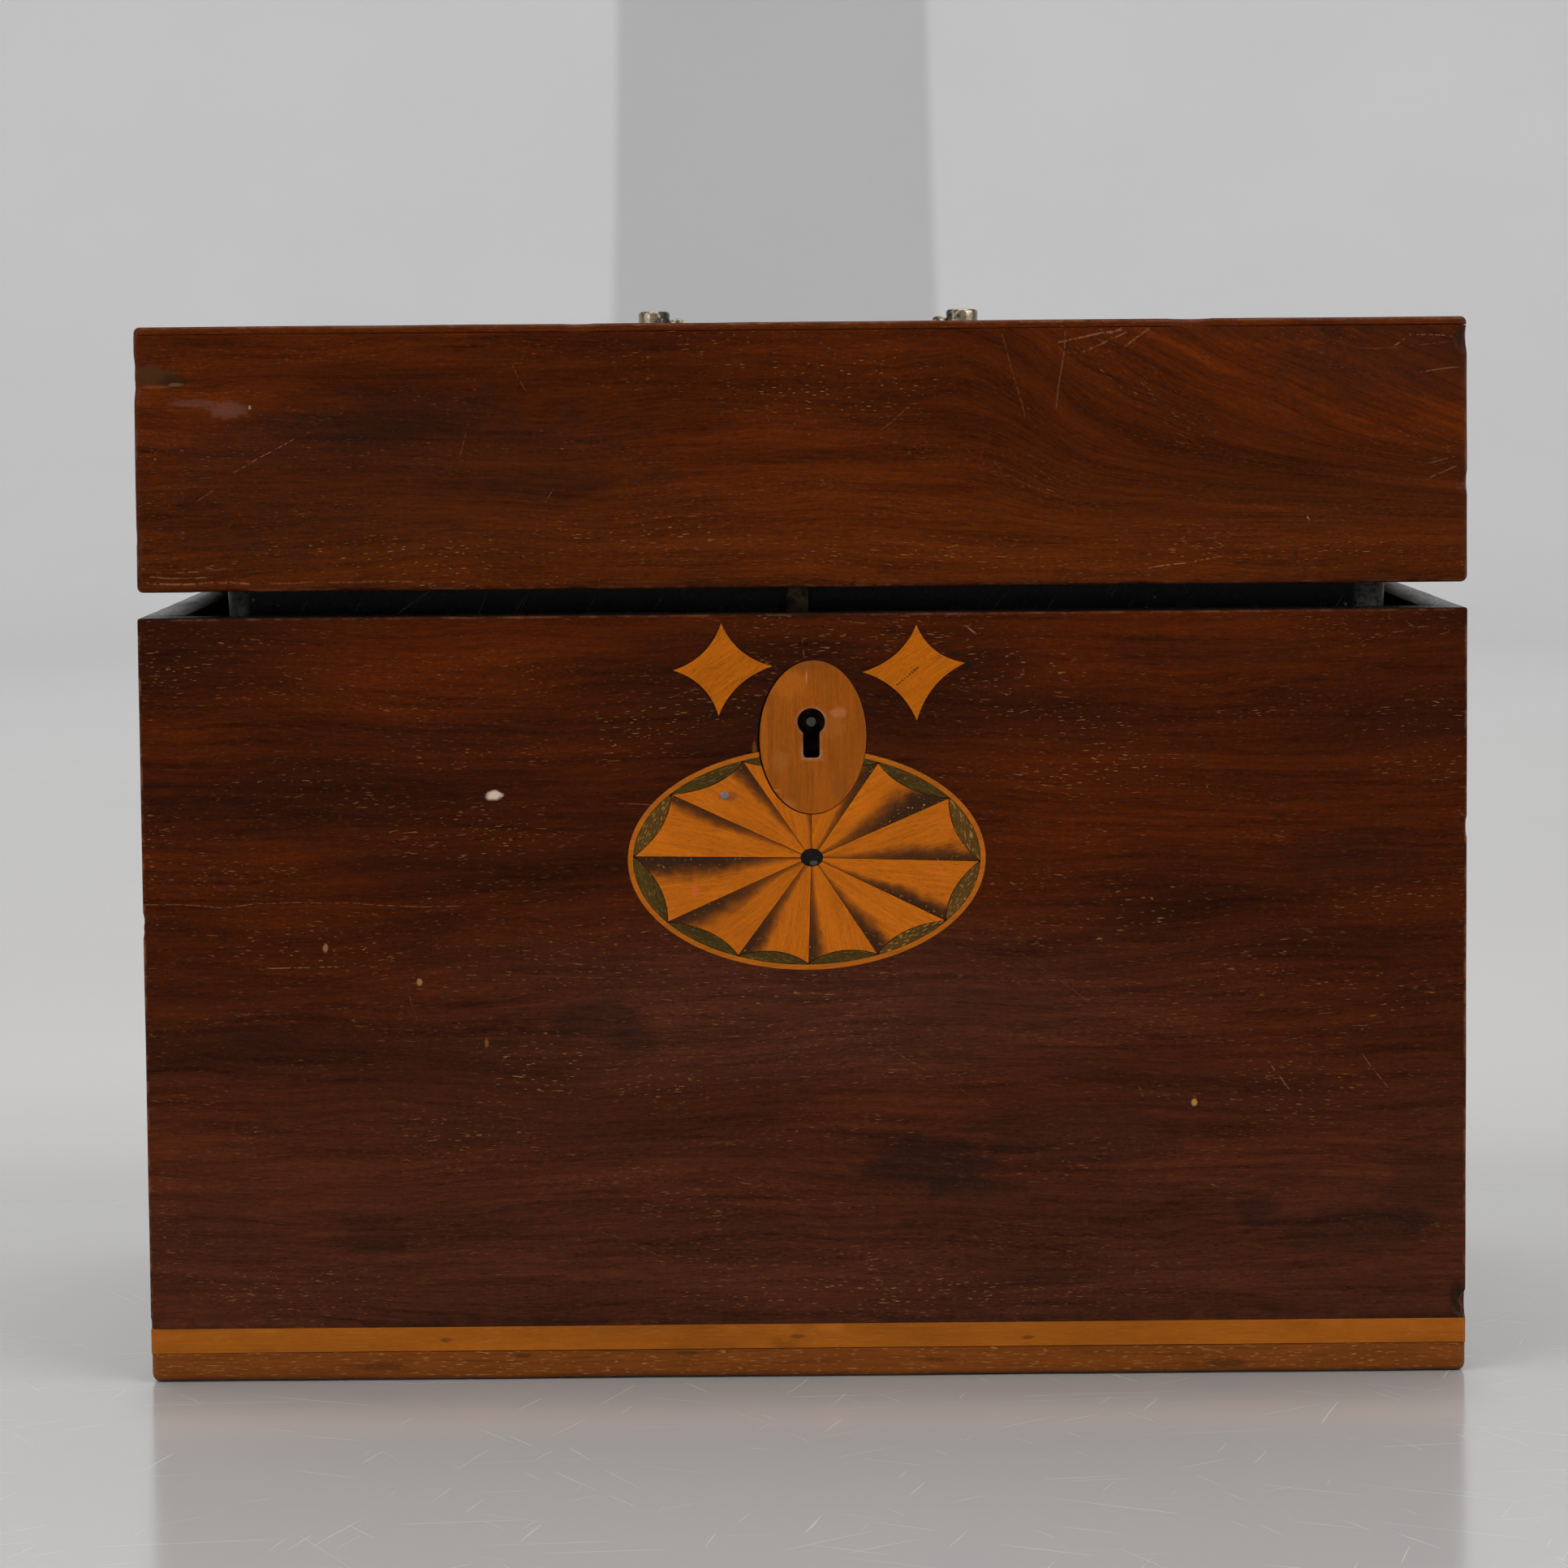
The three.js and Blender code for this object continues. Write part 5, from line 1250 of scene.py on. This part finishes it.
def handle():
    silver = metal("silver_plate", tone(164, 150, 128), tone(50, 45, 39), 80.0, 0.72, 0.14, 0.34)
    top = LID_HI[2]
    for side, inward in (("left", 1), ("right", -1)):
        lo, hi = extent(f"{side}_post")
        x = float(np.mean([lo[0], hi[0]]))
        waist = [(POST_RADIUS - 0.03, height) for height in (0.02, 0.6, 1.8, 3.0)]
        round_over = arc((POST_RADIUS - SHOULDER, POST_HEIGHT - 0.05 - SHOULDER), SHOULDER, 0, 90, 9)
        profile = [(1.4, lo[2] - top), (1.4, 0.0), *waist, *round_over, (0.0, POST_HEIGHT)]
        mesh = turned(f"{side}_handle_post", profile, (x, 0, top), sharp=40)
        bore = [(1.1, -0.3 * inward), (1.1, 6 * inward)]
        bore = turned("cutter", bore, (x, 0, top + PIVOT_HEIGHT), "x", 24)
        piece(f"{side}_handle_post", carve(mesh, bore), silver, "lid", "silvered_brass", f"{side}_post")
        brass = metal(f"nut_brass_{side}", tone(176, 140, 84), tone(84, 60, 34), 84.0)
        piece(f"{side}_handle_nut", eased_copy(f"{side}_post_nut", 0.25), brass, "lid", "brass_fittings",
              f"{side}_post_nut")
    middle = float(np.mean([extent("left_post")[0][0], extent("right_post")[1][0]]))
    bail(silver, middle, top + PIVOT_HEIGHT)


def bail(silver, x, z):
    """The swinging hoop: straight arms, rounded corners and a grip that swells between collars."""
    arm = [(-BAIL_ARM, t) for t in np.linspace(0, BAIL_REACH - BAIL_BEND, 8, endpoint=False)]
    half = arm + [*arc((-BAIL_ARM + BAIL_BEND, BAIL_REACH - BAIL_BEND), BAIL_BEND, 180, 90, 14)]
    ends = BAIL_ARM - BAIL_BEND
    straight = [(t, BAIL_REACH) for t in np.linspace(-ends, ends, 60)[1:-1]]
    path = np.array(half + straight + [(-p[0], p[1]) for p in reversed(half)])
    tangent = np.gradient(path, axis=0)
    tangent /= np.linalg.norm(tangent, axis=1, keepdims=True)
    angles = np.arange(24) * 2 * math.pi / 24
    rings = []
    for (px, py), (tx, ty) in zip(path, tangent):
        radius = ROD
        if abs(px) < GRIP_HALF and py > BAIL_REACH - 0.1:
            radius += (GRIP - ROD) * (1 - (px / GRIP_HALF) ** 2)
            radius += COLLAR * math.exp(-((abs(px) - GRIP_HALF + COLLAR_FROM_END) / COLLAR_WIDTH) ** 2)
        u, v = radius * np.cos(angles), radius * np.sin(angles)
        rings.append(np.stack((px - ty * u, py + tx * u, v), -1))
    parts = [loft("bail_hoop", rings, 40)]
    for side in (-1, 1):
        parts.append(turned("eye", [(r, side * a) for r, a in EYE], (side * BAIL_ARM, 0, 0), "x", 28, 40))
    mesh = merged("bail_hoop", *parts)
    mesh.transform(Matrix.Translation(Vector((x, 0, z)) * MM) @ Matrix.Rotation(-BAIL_DROOP, 4, "X"))
    piece("bail_hoop", mesh, silver, "bail", "silvered_brass", "bail")


# --- lock, hinges -----------------------------------------------------------------


def fittings():
    """The small brass and iron parts keep their CAD shapes, with eased edges and aged metal."""
    brass = metal("aged_brass", tone(150, 114, 60), tone(72, 52, 30), 90.0, 0.7, 0.3, 0.6)
    pale = metal("handled_brass", tone(168, 130, 74), tone(86, 64, 38), 93.0, 0.5, 0.25, 0.5)
    steel = metal("old_iron", tone(112, 106, 100), tone(44, 36, 30), 96.0, 0.6, 0.32, 0.6, 0.6)
    pin_steel = metal("pin_iron", tone(78, 73, 68), tone(42, 37, 33), 97.0, 0.5, 0.3, 0.5)
    black = metal("soot_brass", tone(50, 40, 28), tone(20, 16, 13), 98.0, 0.8, 0.4, 0.65)
    rows = [("lock_plate", "lock_face_plate", black, "case", "brass_fittings", 0.12),
            ("lock_case", "lock_box", steel, "case", "iron", 0.12),
            ("lock_bolt", "lock_shooting_bolt", pale, "bolt", "brass_fittings", 0.12),
            ("lock_spring", "lock_leaf_spring", steel, "case", "iron", 0.06),
            ("drill_pin", "key_pin", pin_steel, "case", "iron", 0.15),
            ("strike_plate", "lid_staple", black, "lid", "brass_fittings", 0.12)]
    for i in (1, 2):
        rows.append((f"lock_screw_{i}", f"lock_fixing_{i}", steel, "case", "iron", 0.05))
        rows.append((f"strike_screw_{i}", f"staple_fixing_{i}", steel, "lid", "iron", 0.05))
    for side in ("left", "right"):
        rows.append((f"{side}_hinge_pin", f"{side}_hinge_rod", steel, "case", "iron", 0.1))
        for owner in ("case", "lid"):
            node, name = f"{side}_hinge_{owner}", f"{side}_{owner}_butt"
            rows.append((f"{node}_leaf", name, brass, owner, "brass_fittings", 0.1))
            for i in (1, 2):
                rows.append((f"{node}_screw_{i}", f"{name}_screw_{i}", pale, owner, "brass_fittings", 0.05))
    for node, name, material, body, slot, width in rows:
        piece(name, eased_copy(node, width), material, body, slot, node)


# --- tin insert -------------------------------------------------------------------

TIN_SHEET = 1.0
TIN_CORNER = 5.0
TIN_BEAD = 0.55
COVER_EDGE = 0.42
COVER_SKIRT = 0.9
COVER_GAP = 1.45
KNOB = ((4.2, 0.0), (4.25, 0.35), (3.9, 0.7), (2.5, 1.1), (1.85, 1.9), (1.8, 2.8), (2.5, 3.5), (3.7, 4.3),
        (4.35, 5.5), (4.3, 6.5), (3.7, 7.6), (2.6, 8.3), (1.2, 8.7), (0.2, 8.8))


def round_rect(lo, hi, radius, per_corner=8, per_side=24):
    """Points round a rectangle with round corners, anticlockwise, seen from above."""
    x0, y0, x1, y1 = lo[0] + radius, lo[1] + radius, hi[0] - radius, hi[1] - radius
    corners = [arc(middle, radius, start, start + 90, per_corner)
               for middle, start in (((x1, y0), -90), ((x1, y1), 0), ((x0, y1), 90), ((x0, y0), 180))]
    outline = []
    for corner, following in zip(corners, corners[1:] + corners[:1]):
        outline += [corner, np.linspace(corner[-1], following[0], per_side + 1)[1:-1]]
    return np.concatenate(outline)


def tin_rings(lo, hi, profile):
    """Level rings round a tin shape. Profile is height, and how far inside the full outline."""
    rings = []
    for z, inside in profile:
        flat = round_rect(np.array(lo[:2]) + inside, np.array(hi[:2]) - inside, max(TIN_CORNER - inside, 0.4))
        rings.append(np.concatenate([flat, np.full((len(flat), 1), z)], 1))
    return np.array(rings)


def tin_insert():
    # Each corner is a place along x, the width of its painted highlight strip, and that highlight's strength.
    dark = japanned("japanned_tin", 101.0, [(-103.6, 3.0, 0.55), (104.0, 3.6, 0.9)])
    lo, hi = extent("tin_box")
    bead = np.radians(np.concatenate([np.linspace(-90, 90, 9)[1:], np.linspace(90, 200, 6)[1:]]))
    profile = [(lo[2], 0.5), (lo[2] + 0.4, 0.1)]
    profile += [(z, 0.12) for z in (*np.linspace(lo[2] + 1, hi[2] - 3.2, 30), hi[2] - 2.1)]
    profile += [(hi[2] - TIN_BEAD * (1 - math.sin(t)), TIN_BEAD * (1 - math.cos(t))) for t in bead]
    profile += [(z, TIN_SHEET) for z in np.linspace(hi[2] - 1.6, lo[2] + TIN_SHEET + 0.6, 16)]
    profile.append((lo[2] + TIN_SHEET, TIN_SHEET + 0.6))
    rings = tin_rings(lo, hi, profile)
    flat = rings.reshape(-1, 3)
    mid = (lo + hi) / 2
    wavy = ripple(flat, 46, 7) * 0.28 + ripple(flat, 15, 8) * 0.07
    fade = np.clip((hi[2] - flat[:, 2]) / 8, 0, 1) * np.clip((flat[:, 2] - lo[2]) / 8, 0, 1)
    inward = (mid - flat) / ((hi - lo) / 2)
    inward[:, 2] = 0
    inward = np.where(np.abs(inward) > 0.98, np.sign(inward), 0)
    flat = flat + inward * ((wavy + 0.35) * fade * 0.8)[:, None]
    box = loft("tin_canister", flat.reshape(rings.shape), 40)
    piece("tin_canister", box, dark, "case", "tin_sheet", "tin_box")
    wall_lo = (mid[0] - TIN_SHEET / 2, lo[1] + TIN_SHEET + 0.4, lo[2] + TIN_SHEET)
    wall_hi = (mid[0] + TIN_SHEET / 2, hi[1] - TIN_SHEET - 0.4, hi[2] - 0.4)
    partition = board("tin_partition", wall_lo, wall_hi, radius=0.3, step=5, warp=0.05, seed=71)
    piece("tin_partition", partition, dark, "case", "tin_sheet")

    brass = metal("knob_brass", tone(164, 128, 70), tone(84, 60, 34), 104.0, share=0.5, low=0.24, high=0.45)
    for side, seed in (("left", 107.0), ("right", 111.0)):
        tin_cover(side, seed, brass)


def tin_cover(side, seed, brass):
    """A domed lid with a turned edge and a skirt that fits its compartment."""
    node = f"{side}_cover"
    lo, hi = extent(node)
    under, inner = hi[2] - 1.0, COVER_GAP + COVER_SKIRT
    reach = np.minimum(hi[0] - lo[0], hi[1] - lo[1]) / 2
    profile = [(hi[2] - 0.32 * share ** 4, reach * (1 - share)) for share in np.linspace(0.04, 0.96, 14)]
    profile += [(hi[2] - 0.72 + COVER_EDGE * math.sin(t), COVER_EDGE * (1 - math.cos(t)))
                for t in np.radians(np.linspace(60, -90, 8))]
    profile += [(under + 0.02, COVER_GAP), (under - 1.2, COVER_GAP), (lo[2] + 0.2, COVER_GAP + 0.08),
                (lo[2], COVER_GAP + 0.3), (lo[2] + 0.1, inner), (under + 0.1, inner),
                (under + 0.25, inner + 6)]
    mesh = loft(f"{side}_canister_lid", tin_rings(lo, hi, profile), 40)
    piece(f"{side}_canister_lid", mesh, japanned(f"japanned_{node}", seed), node, "tin_sheet", node)
    knob_lo, knob_hi = extent(f"{node}_knob")
    x, y, _ = (knob_lo + knob_hi) / 2
    profile = [(1.0, -1.6), (1.0, -0.01), *eased(KNOB)]
    knob = turned(f"{side}_canister_knob", profile, (x, y, hi[2] + 0.02), sharp=50)
    piece(f"{side}_canister_knob", knob, brass, node, "brass_fittings", f"{node}_knob")


# --- assembly -----------------------------------------------------------------------

camera()
studio()
case_walls()
strips()
inside_of_case()
inlays()
lid()
handle()
fittings()
tin_insert()

bpy.context.view_layer.update()
